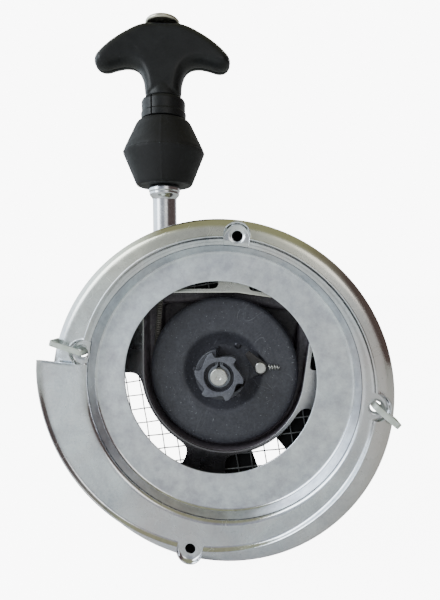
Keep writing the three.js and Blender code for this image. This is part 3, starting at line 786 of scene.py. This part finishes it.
def screen(name, span):
    """Woven wire behind one window: each wire runs over and under the ones that it crosses."""
    outline = window_outline(*span, grow=1.8)
    turn = WIRE_TURN_DEG * RAD
    axes = [np.array([cos(turn), sin(turn)]), np.array([-sin(turn), cos(turn)])]
    start = np.array(WIRE_CROSSING)
    wires = []
    marks = np.arange(-220, 220, WIRE_PITCH / 8)
    for direction in (0, 1):
        run, step = axes[direction], axes[1 - direction]
        for k in range(-16, 17):
            points = start + marks[:, None] * run + k * WIRE_PITCH * step
            kept = inside(points, outline)
            wave = np.cos(pi * marks / WIRE_PITCH + pi * (k + direction))
            depth = FACE_Y + SHEET + 0.3 + 0.9 + 0.42 * wave
            edges = np.flatnonzero(np.diff(np.concatenate([[0], kept.astype(int), [0]])))
            for low, high in zip(edges[::2], edges[1::2]):
                if high - low > 2:
                    path = np.stack([points[low:high, 0], depth[low:high], points[low:high, 1]], axis=1)
                    wires.append(tube(name, path, WIRE_R, 6))
    return join(*wires)


for side, span in WINDOWS.items():
    finish_piece(screen(f"wire_screen_{side}", span), "base", WIRE, f"screen_{side}", 60)


# ---- starter housing ----
def housing():
    hub_inset = 12.0
    centre_r = 9.0
    middle = SHEET / 2
    profile = sheet_section(bent_line([
        (-middle, FACE_Y + SHEET + 0.3 + middle), (-middle, SHELF_Y + middle, 3),
        (SHELF_INSET - middle, SHELF_Y + middle, 3), (SHELF_INSET - middle, FLOOR_Y + middle, 3),
        (MOUTH_R - centre_r, FLOOR_Y + middle),
    ], 3, 60))
    hub_line = d_outline(hub_inset)
    angles = np.arctan2(hub_line[:, 1], hub_line[:, 0])
    bore = np.stack([centre_r * np.cos(angles), centre_r * np.sin(angles)], axis=1)
    rows = []
    for inset, y in profile:
        if inset <= hub_inset:
            ring = d_outline(inset)
        else:
            ring = hub_line + (bore - hub_line) * min((inset - hub_inset) / (MOUTH_R - centre_r - hub_inset), 1)
        rows.append(np.stack([ring[:, 0], np.full(len(ring), y), ring[:, 1]], axis=1))
    shell = skin("starter_housing_cup", np.array(rows))
    shell = cut(shell, bar(5.5, 60, 80, (TUBE_X - 2.5, ROPE_Y), 40, upright=True))
    return join(shell, *[tab(deg) for deg in (84, -12, -101, 152)])


def tab(deg):
    """A welded foot on the housing's rim, with a bead of weld across its root."""
    angle = deg * RAD
    radius = outline_reach(d_outline(-SHEET), angle) + 3.2
    outline = rounded([(-4.5, -7), (4.5, -7), (4.5, 7), (-4.5, 7)], 2.5)
    turn = Matrix.Rotation(-angle, 4, "Y")
    foot = slab("tab", outline, FACE_Y + SHEET + 0.3, FACE_Y + 2 * SHEET + 0.3, 0.3)
    x, z = polar(angle, radius * MM)
    foot.matrix_world = Matrix.Translation((x, 0, z)) @ turn
    marks = np.linspace(-6, 6, 40)
    bead = tube("weld", np.stack([np.full(40, -3.0), np.full(40, FACE_Y + 2 * SHEET + 0.6), marks], axis=1),
                1.3 + 0.2 * np.sin(marks * 3.2), 10)
    bead.matrix_world = foot.matrix_world
    return join(foot, bead)


finish_piece(housing(), "base", BLACK_PAINT, "starter_housing", 45)


# ---- axle and its fixings ----
def threaded(radius, y0, y1, pitch=1.5):
    """Thread-like grooves from y0 to y1."""
    marks = np.arange(y0, y1, pitch / 6)
    return [(radius - 0.35 * (1 - cos(2 * pi * (y - y0) / pitch)), y) for y in marks]


axle_end = FLOOR_Y + SHEET + 9
washer_y = FLOOR_Y + SHEET + 0.3
axle_profile = rounded([
    (0.01, AXLE_END_Y + 0.5, 0), (1.6, AXLE_END_Y + 0.5, 0.2), (2.4, AXLE_END_Y, 0.2),
    (AXLE_R - 0.9, AXLE_END_Y, 0.4), (AXLE_R, AXLE_END_Y + 0.9, 0.4), (AXLE_R, AXLE_END_Y + 4.2, 0.1),
    (AXLE_R - 1, AXLE_END_Y + 4.2, 0.1),
    (AXLE_R - 1, AXLE_END_Y + 5.6, 0.1), (AXLE_R, AXLE_END_Y + 5.6, 0.1), (AXLE_R, FLOOR_Y - 5, 0.3),
    (12, FLOOR_Y - 5, 0.5), (12, FLOOR_Y - 0.3, 0.3), (6, FLOOR_Y - 0.3, 0.1),
], 0.2)
axle_tail = [(6, FLOOR_Y), *threaded(6, FLOOR_Y + 1, axle_end - 1), (5.2, axle_end), (0.01, axle_end)]
axle = turned("axle_shaft", np.vstack([axle_profile, axle_tail]))
finish_piece(axle, "base", TURNED_STEEL, "axle", 30)

washer = turned("axle_flat_washer", rounded([
    (6.3, washer_y), (13, washer_y), (13, washer_y + 1.6), (6.3, washer_y + 1.6)], 0.35))
finish_piece(washer, "base", HARDWARE, "axle_washer")


def hex_nut():
    """A chamfered hexagon nut: a hexagon whose ends are cut by a cone."""
    low = washer_y + 1.9
    rows = []
    for y, limit in ((0, 9.7), (0.1, 9.9), (0.7, 10.6), (1.3, 11), (4.2, 11), (4.8, 10.6), (5.4, 9.9), (5.5, 9.7)):
        ring = []
        for angle in full_turn(120):
            sixth = (angle / RAD + 30) % 60 - 30
            flat = 9.53 / cos(sixth * RAD)
            x, z = polar(angle + 30 * RAD, min(flat, limit))
            ring.append((x, low + y, z))
        rows.append(ring)
    for y in np.linspace(5.2, 0.3, 22):
        r = 6.3 + 0.3 * cos(y * 4.2)
        rows.append([(r * cos(a), low + y, r * sin(a))
                     for a in np.linspace(30 * RAD, 390 * RAD, 120, endpoint=False)])
    return skin("axle_hex_nut", rows)


finish_piece(hex_nut(), "base", HARDWARE, "axle_nut", 25)


def circlip():
    inner, outer = AXLE_R - 0.7, AXLE_R + 1.9
    line = [polar(deg * RAD, outer) for deg in range(112, 429, 6)]
    lug = [(2.9, 9.6), (3.3, 11.6), (1.0, 11.9), (0.9, 9.0)]
    line += lug
    line += [polar(deg * RAD, inner) for deg in range(428, 111, -6)]
    line += [(-x, z) for x, z in lug[::-1]]
    holes = [circle(0.55, 14, (side * 2.05, 10.6)) for side in (1, -1)]
    return slab("retaining_ring", line, AXLE_END_Y + 4.3, AXLE_END_Y + 5.4, 0.15, holes)


finish_piece(circlip(), "base", SPRING_STEEL, "circlip")


# ---- pulley ----
pulley_front = turned("pulley_disc", rounded([
    (9.3, 49), (23, 49, 1), (26.5, 47.9, 3), (31, 45, 4), (34.6, PULLEY_FACE_Y, 3), (38, PULLEY_FACE_Y - 0.9, 3),
    (42, PULLEY_FACE_Y - 0.9, 3), (60, PULLEY_FACE_Y, 3), (64, PULLEY_FACE_Y + 0.9, 2),
    (PULLEY_R, PULLEY_FACE_Y + 3, 2), (PULLEY_R, PULLEY_FACE_Y + 6, 0.5), (PULLEY_R - SHEET, PULLEY_FACE_Y + 6, 0.5),
    (PULLEY_R - SHEET, PULLEY_FACE_Y + 3.6, 1), (63, PULLEY_FACE_Y + 2.4), (59, PULLEY_FACE_Y + SHEET),
    (40, PULLEY_FACE_Y + 0.7), (36.8, PULLEY_FACE_Y + 0.9), (35.6, PULLEY_FACE_Y + 2.2), (33.8, 49), (31.5, 50.2),
    (9.3, 50.2)], 0.4), 180)
# The pocket that the pawl swings in: from round the hub out to the pin.
POCKET = [polar(deg * RAD, 13.4) for deg in range(104, -55, -6)] + [
    (12, -15), (20, -9), (29, -5), (35, -3), (39.5, 1), (39.5, 6), (36, 12), (29, 18.5), (18, 22.8), (6, 24.4),
    (-4, 23.6)]


def pocket():
    return slab("tool", rounded(POCKET, 2), 26, 48.6)


cut(pulley_front, bar(2.9, 30, 55, PIN), pocket())
finish_piece(pulley_front, "pulley", PHOSPHATE, "pulley_front", 40)

drum = turned("pulley_drum_and_flange", rounded([
    (9.3, 50.5), (DRUM_R, 50.5, 0.4), (DRUM_R, 56, 0.6), (65, 56.2, 0.5), (65, 57.7, 0.5), (DRUM_R - 2, 57.7, 1),
    (DRUM_R - 2, 59, 0.5), (9.3, 59)], 0.3), 144)
finish_piece(drum, "pulley", PHOSPHATE, "pulley_drum")


def wound_rope():
    """Three turns of cord, one outside the other, on the drum."""
    pitch, strand = 5.35, 2.45
    steps = 96
    turns = np.arange(0, 3 * steps + 1)
    radius = DRUM_R + 0.5 + strand + pitch * turns / steps * 2 / 3
    radius = np.minimum(radius, PULLEY_R - strand - 0.2)
    angle = 175 * RAD - 2 * pi * (3 - turns / steps)
    path = np.stack([radius * np.cos(angle), np.full(len(turns), ROPE_Y), radius * np.sin(angle)], axis=1)
    return tube("rope_on_drum", path, strand, 12)


finish_piece(wound_rope(), "pulley", CORD_ON_PULLEY, "rope_coil", 60)

hub = turned("pulley_hub", rounded([
    (8, 24), (15, 24, 0.6), (15, 27.5, 0.5), (22, 27.5, 1.2), (22, 48.6, 0.3), (9, 48.6), (9, 60.5), (8, 60.5)],
    0.3), 120)
cut(hub, pocket())
finish_piece(hub, "pulley", PHOSPHATE, "hub_bush")


def star():
    """The drive star, with worn saw teeth and a counterbore for the retaining ring."""
    line = []
    pitch = 360 / STAR_TEETH
    for tooth in range(STAR_TEETH):
        tip = 105 + tooth * pitch
        for deg, radius, corner in ((0, STAR_R, 0.9), (11, STAR_R - 0.3, 2.0), (32, STAR_R - 3.6, 3.0),
                                    (48, STAR_R - 5.2, 2.5), (57, STAR_R - 4.6, 1.2)):
            line.append((*polar((tip + deg) * RAD, radius), corner))
    return slab("drive_star", rounded(line, 1), STAR_Y, STAR_Y + 6, 0.5, [circle(12.6, 96)])


finish_piece(star(), "pulley", STAR_STEEL, "ratchet_star", 30)

pin_piece = turned("pawl_pivot_pin", rounded([
    (0.01, 36.3), (PIN_R - 0.9, 36.3, 0.6), (PIN_R, 37, 0.5), (PIN_R, 37.8, 0.2), (2.6, 37.8, 0.1), (2.6, 48.9, 0.2),
    (0.01, 48.9)], 0.1), 64, PIN)
finish_piece(pin_piece, "pulley", TURNED_STEEL, "pawl_pin", 30)


def pawl_spring():
    turns = 4
    t = np.linspace(0, 1, turns * 28)
    angle = 2 * pi * turns * t
    radius = 2.3 - 0.5 * t
    path = np.stack([40.2 + 9.3 * t, 38 + radius * np.cos(angle), PIN[1] + 0.8 + radius * np.sin(angle)], axis=1)
    return tube("pawl_coil_spring", path, 0.5, 8)


finish_piece(pawl_spring(), "pulley", TURNED_STEEL, "pawl_spring", 60)

PAWL_TIP = (21, 15)
pawl_line = [(PIN[0] + 6 * cos(deg * RAD), PIN[1] + 6 * sin(deg * RAD), 0.5) for deg in range(-120, 61, 10)]
pawl_line += [(PAWL_TIP[0] + 2.5, PAWL_TIP[1] + 4, 0.8), (PAWL_TIP[0] - 1, PAWL_TIP[1] + 1, 0.6), (27, 5, 3)]
pawl = slab("pawl_plate", rounded(pawl_line, 0.5, 3), 38.1, 40.6, 0.35, [circle(3, 40, PIN)])
finish_piece(pawl, "pawl_arm", PAWL_IN_PAINTED_SHADE, "pawl")

for index, deg in enumerate((60, 180, 300)):
    x, z = polar(deg * RAD, 26)
    head = turned(f"rivet_head_{index + 1}", rounded([
        (0.01, 47.1), (1.8, 47.2, 0.8), (3.1, 48, 0.7), (3.2, 48.7, 0.1), (0.01, 48.7)], 0.3), 40, (x, z))
    finish_piece(head, "pulley", OILED_ZINC, f"pulley_rivet_{index + 1}")


# ---- recoil spring ----
def recoil_spring():
    """A flat strip wound in eight turns."""
    turns = 8
    t = np.linspace(0, 1, turns * 72)
    radius = 17 + 32 * t ** 0.9
    angle = 2 * pi * turns * t
    rows = []
    for r, a in zip(radius, angle):
        c, s = cos(a), sin(a)
        rows.append([((r + side) * c, y, (r + side) * s)
                     for side, y in ((0.35, 63.6), (0.35, 73.4), (-0.35, 73.4), (-0.35, 63.6))])
    return skin("recoil_spring_strip", rows, rows_closed=False)


finish_piece(recoil_spring(), "base", SPRING_STEEL, "recoil_spring", 50)
cup = turned("spring_cup_shell", rounded([
    (14, 75), (52.3, 75, 1.5), (52.3, 62.5, 0.3), (53.5, 62.5, 0.3), (53.5, 76.2, 2.2), (14, 76.2, 0.2)], 0.2), 120)
finish_piece(cup, "base", HARDWARE, "spring_cup")
thrust = turned("thrust_ring", rounded([(8, 60.9), (13.5, 60.9), (13.5, 62.1), (8, 62.1)], 0.2), 72)
finish_piece(thrust, "base", BRASS, "thrust_washer")


# ---- rope guide ----
def upright(name, profile, segments=120):
    return turned(name, profile, segments, (TUBE_X, ROPE_Y), upright=True)


tube_foot = MOUTH_TOP + SHEET + 0.3
guide = upright("rope_guide_tube", rounded([
    (9, tube_foot, 0.2), (TUBE_R + 2.2, tube_foot, 0.5), (TUBE_R, tube_foot + 3, 2), (TUBE_R, TUBE_TOP - 4, 3),
    (FLARE_R - 0.6, TUBE_TOP - 1, 1.5), (FLARE_R - 0.6, TUBE_TOP + 1.6, 0.4), (FLARE_R, TUBE_TOP + 2.2, 0.6),
    (FLARE_R, FLARE_TOP - 1.4, 1), (FLARE_R - 1, FLARE_TOP, 0.6), (9, FLARE_TOP, 0.5)], 0.3))
finish_piece(guide, "base", ZINC_TUBE, "guide_tube", 50)
bush = upright("rope_bush", rounded([
    (3.4, FLARE_TOP - 14), (8.6, FLARE_TOP - 14), (8.6, FLARE_TOP + 2, 1), (5, FLARE_TOP + 2, 1.5),
    (3.4, FLARE_TOP + 0.6, 0.8)], 0.3), 64)
finish_piece(bush, "base", BRASS, "rope_guide_bush")


def bumper():
    """Two rubber cones base to base, with ragged flash where the mould parted."""
    profile = rounded([
        (9, FLARE_TOP + 0.3, 0.3), (24.3, FLARE_TOP + 0.3, 1), (25.6, FLARE_TOP + 2.4, 1.4), (35.9, 192.6, 0.5),
        (36.4, 194.4, 0.3), (35.5, 195.2, 0.3), (35.4, 196.6, 0.5), (24.4, CONE_TOP - 2.4, 2), (22, CONE_TOP, 1.2),
        (9, CONE_TOP, 0.4)], 0.4, 6)
    profile = resample(profile, 170, closed=True)
    made = upright("rubber_bumper_cone", profile, 240)
    ragged = np.random.default_rng(7).normal(0, 1, 240)
    ragged = np.convolve(np.tile(ragged, 3), [0.25, 0.5, 0.25], "same")[240:480]
    for vertex in made.data.vertices:
        x, y, z = np.array(vertex.co) / MM
        dx, dy = x - TUBE_X, y - ROPE_Y
        angle = atan2(dy, dx)
        radius = hypot(dx, dy)
        seam = exp(-((z - 194.8) / 0.9) ** 2) * ragged[int(angle / (2 * pi) * 240) % 240] * 0.28
        spine = exp(-(((angle + 80 * RAD) * radius) / 0.7) ** 2) * 0.3 * float(radius > 18)
        grow = 1 + (seam + spine) / max(radius, 1)
        vertex.co = Vector(((TUBE_X + dx * grow) * MM, (ROPE_Y + dy * grow) * MM, z * MM))
    return made


finish_piece(bumper(), "base", RUBBER, "rubber_bumper", 40)


# ---- rope ----
def braided(name, start, end, strands=8):
    """A cord of crossing strands between two points."""
    start, end = np.array(start, float), np.array(end, float)
    length = np.linalg.norm(end - start)
    t = np.arange(0, length, 0.7) / length
    line = start + t[:, None] * (end - start)
    side, up = frames_along(line)
    lay = 17.0
    pieces = [tube(name, line, 1.75, 10)]
    for hand in (1, -1):
        for strand in range(strands):
            angle = hand * 2 * pi * t * length / lay + 2 * pi * strand / strands
            weave = np.sin(angle * strands / 2 * hand - hand * pi / 2 + pi * (hand > 0))
            radius = 1.85 + 0.22 * weave
            path = line + (np.cos(angle) * radius)[:, None] * side + (np.sin(angle) * radius)[:, None] * up
            pieces.append(tube(name, path, 0.5, 6))
    return join(*pieces)


tangent = (63.5 * cos(175.2 * RAD), ROPE_Y, 63.5 * sin(175.2 * RAD))
lead = braided("rope_to_tube", tangent, (TUBE_X, ROPE_Y, ROPE_SPLIT_Z - 0.6))
finish_piece(lead, "base", CORD, "rope_lead", 60)

run_marks = np.linspace(ROPE_SPLIT_Z, COLLAR_BOTTOM + 2, 260)
run = tube("rope_pull_run", np.stack([np.full(260, TUBE_X), np.full(260, ROPE_Y), run_marks], axis=1), ROPE_D / 2, 24)
run.data.materials.append(CORD)
smooth(run, 60)
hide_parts("rope_run")
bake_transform(run)


# ---- handle ----
def on_handle(obj):
    """Turns a piece built about Z at the origin to the handle's place."""
    turn = Matrix.Translation((TUBE_X * MM, ROPE_Y * MM, 0)) @ Matrix.Rotation(HANDLE_TURN_DEG * RAD, 4, "Z")
    obj.data.transform(turn)
    return obj


GRIP_LINE = [
    (0, -2.9), (15, -2.9), (26, -7), (37, -13), (46, -19), (53.5, -25.5), (58.5, -31), (HANDLE_HALF_SPAN, -35),
    (58.6, -40.5), (54, -43.2), (48.5, -43.2), (42, -41), (33, -39), (25.5, -40), (20.5, -43.5), (17.4, -50),
    (15.9, -57), (15.8, -67.6),
]


def grip():
    """A moulded T-grip: rounded outward from its outline, with the mould's parting line round its middle."""
    half = np.array(GRIP_LINE, float)
    half[:, 1] += HANDLE_TOP
    outline = np.vstack([half, half[::-1][:-1] * [-1, 1]])
    outline = resample(rounded(outline, 4, 5), 220, closed=True)
    depth, soft, layers = 13.2, 7.5, 9
    stack = []
    for angle in np.linspace(0, pi / 2, layers):
        inset = soft * (1 - cos(angle))
        thick = 1.5 + (depth - 1.5) * sin(angle)
        layer = slab("layer", outline, -thick, thick)
        if inset > 0.01:
            bpy.data.objects.remove(layer)
            layer = slab("layer", drawn_in(outline, inset), -thick, thick)
        stack.append(layer)
    neck = turned("neck", rounded([
        (0.01, COLLAR_TOP + 0.3), (15.8, COLLAR_TOP + 0.3), (14.6, 247), (12.4, 255), (0.01, 263)], 2),
        80, upright=True)
    body = join(stack[0], *stack[1:], neck)
    body.name = "t_handle"
    remesh = body.modifiers.new("remesh", "REMESH")
    remesh.mode = "VOXEL"
    remesh.voxel_size = 0.8 * MM
    soften = body.modifiers.new("soften", "SMOOTH")
    soften.factor = 0.5
    soften.iterations = 14
    bake(body)
    for vertex in body.data.vertices:
        y = vertex.co.y / MM
        line = exp(-(y / 0.8) ** 2) * 1.3 * float(vertex.co.z / MM < HANDLE_TOP - 5)
        swell = 0.5 * float(smooth_step(COLLAR_TOP + 1, COLLAR_TOP + 8, vertex.co.z / MM))
        vertex.co += vertex.normal * (swell * float(smooth_step(3, 8, HANDLE_TOP - vertex.co.z / MM)) - line) * MM
    return on_handle(body)


def drawn_in(line, inset):
    """A closed outline moved inward, without the points that come too near it."""
    step = np.roll(line, -1, axis=0) - np.roll(line, 1, axis=0)
    step /= np.linalg.norm(step, axis=1)[:, None]
    normal = np.stack([step[:, 1], -step[:, 0]], axis=1)
    area = np.sum(line[:, 0] * np.roll(line[:, 1], -1) - np.roll(line[:, 0], -1) * line[:, 1])
    inward = line - normal * inset * (1 if area > 0 else -1)
    nearest = np.min(np.linalg.norm(inward[:, None] - line[None], axis=2), axis=1)
    return inward[nearest > inset * 0.98]


finish_piece(grip(), "grip", PLASTIC, "handle", 80)

cap = on_handle(turned("grip_cap", rounded([
    (0.01, HANDLE_TOP - 2.7), (14.4, HANDLE_TOP - 2.7, 0.4), (15.3, HANDLE_TOP - 1.7, 0.6),
    (15.1, HANDLE_TOP + 0.3, 1.2), (12.5, HANDLE_TOP + 1.8, 2.5), (7, HANDLE_TOP + 2.9, 3),
    (0.01, HANDLE_TOP + 3.1)], 0.5), 96, upright=True))
finish_piece(cap, "grip", HARDWARE, "handle_cap", 40)


def collar():
    """The split collar under the grip: two bands with a step between them."""
    body = turned("grip_collar", rounded([
        (5, COLLAR_BOTTOM), (19.8, COLLAR_BOTTOM, 0.6), (20.2, COLLAR_BOTTOM + 5.5, 0.8),
        (19.3, COLLAR_BOTTOM + 6.4, 0.4), (19.6, COLLAR_TOP - 3, 0.8),
        (18.5, COLLAR_TOP - 0.6, 1), (15.9, COLLAR_TOP, 0.5), (5, COLLAR_TOP)], 0.4),
        144, upright=True)
    slit = mesh_box((-9.9, -22, COLLAR_BOTTOM - 4), (-8.6, -7, COLLAR_TOP + 4))
    return on_handle(cut(body, slit))


def mesh_box(low, high):
    corners = [(x, y, z) for x in (low[0], high[0]) for y in (low[1], high[1]) for z in (low[2], high[2])]
    faces = [(0, 1, 3, 2), (4, 6, 7, 5), (0, 4, 5, 1), (2, 3, 7, 6), (0, 2, 6, 4), (1, 5, 7, 3)]
    return mesh_object("box", corners, faces)


finish_piece(collar(), "grip", PLASTIC, "handle_collar", 35)
knot = on_handle(turned("knotted_end", rounded([
    (0.01, KNOT_Z - 5), (4.5, KNOT_Z - 4.5, 2), (7, KNOT_Z, 2.5), (5.4, KNOT_Z + 2, 1.5), (7.2, KNOT_Z + 5, 2.5),
    (4.5, KNOT_Z + 9, 2), (0.01, KNOT_Z + 9.5)], 1.5), 48, upright=True))
finish_piece(knot, "grip", CORD, "rope_knot", 60)
knot_ring = on_handle(turned("knot_flat_washer", rounded([
    (3, KNOT_Z - 7.2), (8.4, KNOT_Z - 7.2), (8.4, KNOT_Z - 5.6), (3, KNOT_Z - 5.6)], 0.3), 64, upright=True))
finish_piece(knot_ring, "grip", HARDWARE, "knot_washer")
tail = braided("rope_in_grip", (TUBE_X, ROPE_Y, COLLAR_BOTTOM), (TUBE_X, ROPE_Y, KNOT_Z - 7.6))
finish_piece(tail, "grip", CORD, "rope_tail", 60)


# ---- cable ties ----
def cable_tie(name, hole, toward, length):
    """A ribbed nylon strap through an ear's hole and round the brim, closed in its lock."""
    low, high = -LIP_HEIGHT - 1.3, BRIM_HEM + 1.9
    loop = rounded([(-1.6, low), (length + 0.7, low), (length + 0.7, high), (-1.6, high)], 3.2, 8)
    loop = resample(loop, 150, closed=True)
    out = np.array(toward) / hypot(*toward)
    side = np.array([-out[1], out[0]])
    along = np.roll(loop, -1, axis=0) - np.roll(loop, 1, axis=0)
    along /= np.linalg.norm(along, axis=1)[:, None]
    normal = np.stack([along[:, 1], -along[:, 0]], axis=1)
    section = rounded([(-2.3, -0.65), (2.3, -0.65), (2.3, 0.65), (-2.3, 0.65)], 0.55, 3)
    rows = []
    for i, (point, across) in enumerate(zip(loop, normal)):
        rib = 0.16 * (i % 2)
        ring = []
        for wide, thick in section:
            lift = thick - rib * float(thick < 0 and abs(wide) < 1.6)
            u, y = point + across * lift
            x, z = np.array(hole) + out * u + side * wide
            ring.append((x, y, z))
        rows.append(ring)
    strap = skin(name, rows)
    lock = slab("lock", rounded([(-4, -3.7), (4, -3.7), (4, 3.7), (-4, 3.7)], 1.2), high + 0.5, high + 5.4, 0.5)
    place_at = np.array(hole) + out * length / 2
    lock.matrix_world = (Matrix.Translation((place_at[0] * MM, 0, place_at[1] * MM))
                         @ Matrix.Rotation(-atan2(out[1], out[0]), 4, "Y"))
    return join(strap, lock)


tie_right = cable_tie("nylon_tie_right", EAR_HOLES[3], (0.76, -0.65), 21)
finish_piece(tie_right, "base", NYLON, "cable_tie_right", 50)
tie_left = cable_tie("nylon_tie_left", EAR_HOLES[1], (-0.96, 0.28), 27)
finish_piece(tie_left, "base", NYLON, "cable_tie_left", 50)


# ---- stage, light and camera ----
def area_light(name, location, target, size, power, colour):
    light = bpy.data.lights.new(name, "AREA")
    light.shape = "RECTANGLE"
    light.size, light.size_y = size
    light.energy = power
    light.color = colour
    lamp = add_object(name, light)
    lamp.location = location
    lamp.rotation_mode = "QUATERNION"
    lamp.rotation_quaternion = (Vector(target) - Vector(location)).to_track_quat("-Z", "Y")


def world_light():
    """A bright window on the left, a dark wall on the right, a dull ceiling, and white for the camera."""
    world = bpy.data.worlds.new("studio")
    bpy.context.scene.world = world
    backdrop = start_tree(world).nodes["Background"]
    x, y, z = split(out("TexCoord", "Generated"))
    behind_camera = ramp(between(x, -1, 1), (0.25, (0.95, 1.05, 1.12)), (0.31, (0.62, 0.66, 0.71)),
                         (0.42, (0.40, 0.40, 0.45)), (0.53, (0.48, 0.50, 0.53)), (0.61, (0.90, 0.97, 1.0)),
                         (0.70, (0.62, 0.62, 0.62)))
    room = mix(between(y, 0.1, 0.6), behind_camera, (0.85, 0.86, 0.88))
    room = mix(between(z, -0.4, -0.8), room, (0.80, 0.83, 0.85))
    room = mix(between(z, 0.4, 0.8), room, (0.42, 0.42, 0.27))
    room = mix(between(x, 0.45, 0.8), room, (0.13, 0.10, 0.092))
    room = mix(between(x, -0.5, -0.85), room, (2.3, 2.6, 2.8))
    put(backdrop, Color=mix(out("LightPath", "Is Camera Ray"), room, (9.0, 9.0, 9.0)), Strength=1.0)


def stage_sheet(name, corners, **sockets):
    """One flat face that isn't part of the object, and its shader."""
    mesh = bpy.data.meshes.new(name)
    mesh.from_pydata(corners, [], [list(range(len(corners)))])
    add_object(name, mesh)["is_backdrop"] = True
    made, shader = new_material(name, **sockets)
    mesh.materials.append(made)
    return mesh, shader


FLOOR_GAP = 0.002
FLOOR_HALF = 6.0


def floor():
    """The plain pale floor, which the camera sees as bright as the backdrop."""
    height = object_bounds()[0][2] - FLOOR_GAP
    corners = [(FLOOR_HALF * x, FLOOR_HALF * y, height) for x, y in ((-1, -1), (1, -1), (1, 1), (-1, 1))]
    _, shader = stage_sheet("floor", corners, Base_Color=(0.86, 0.87, 0.88, 1), Roughness=0.8,
                            Emission_Color=(1, 1, 1, 1))
    put(shader, Emission_Strength=out("LightPath", "Is Camera Ray") * 8.2)


def painted_shade_card(name, outline, y):
    """A near-black card behind the part, seen only from the front: painted shade, where the screens and ear holes
    look into shadow.
    """
    mesh, shader = stage_sheet(name, [(px * MM, y * MM, pz * MM) for px, pz in outline],
                               Base_Color=(0.006, 0.006, 0.006, 1), Roughness=0.9, Specular_IOR_Level=0.1)
    sides = [Value(shader.outputs["BSDF"]), out("BsdfTransparent", "BSDF")]
    if mesh.polygons[0].normal.y >= 0:
        sides.reverse()
    both = out("MixShader", "Shader", {0: out("NewGeometry", "Backfacing"), 1: sides[0], 2: sides[1]})
    put(tree.nodes["Material Output"], Surface=both)


CARD_Y = 44.3
EAR_CARD_Y = 12.4


def painted_shade_card_behind_windows(name, start, end):
    housing_edge = d_outline(-SHEET - 0.8)
    degrees = np.linspace(start, end, 60)
    outer = [polar(deg * RAD, 99) for deg in degrees]
    inner = [polar(deg * RAD, outline_reach(housing_edge, deg * RAD)) for deg in degrees[::-1]]
    painted_shade_card(name, outer + inner, CARD_Y)


# Painted shade: near-black cards behind the windows and behind the top and bottom ear holes.
painted_shade_card_behind_windows("card behind the top and right", -4, 128)
painted_shade_card_behind_windows("card behind the lower right", 309, 342)
painted_shade_card_behind_windows("card behind the bottom", 268, 290)
painted_shade_card("card behind the top ear", circle(7, 24, EAR_HOLES[0]), EAR_CARD_Y)
painted_shade_card("card behind the bottom ear", circle(7, 24, (-23, -141.5)), EAR_CARD_Y)
floor()
world_light()
area_light("window", (-0.9, -0.7, 0.55), (0, 0, 0.02), (0.5, 0.9), 9, (0.93, 0.97, 1.0))
area_light("fill", (0.5, -1.0, 0.5), (0, 0, 0.05), (0.5, 0.5), 1.5, (1.0, 0.96, 0.9))

CAMERA_PLACE = (0.0535, -0.3649, 0.0813)
CAMERA_YAW_DEG = 7.75
CAMERA_PITCH_DEG = -2.57
CAMERA_ROLL_DEG = 0.37
CAMERA_LENS = 28.2

camera = add_object("camera", bpy.data.cameras.new("camera"))
turn = (Matrix.Rotation(CAMERA_YAW_DEG * RAD, 4, "Z") @ Matrix.Rotation(CAMERA_PITCH_DEG * RAD, 4, "X")
        @ Matrix.Rotation(CAMERA_ROLL_DEG * RAD, 4, "Y") @ Matrix.Rotation(pi / 2, 4, "X"))
camera.matrix_world = Matrix.Translation(CAMERA_PLACE) @ turn
camera.data.lens = CAMERA_LENS
camera.data.sensor_width = 36
camera.data.clip_start = 0.01
bpy.context.scene.camera = camera
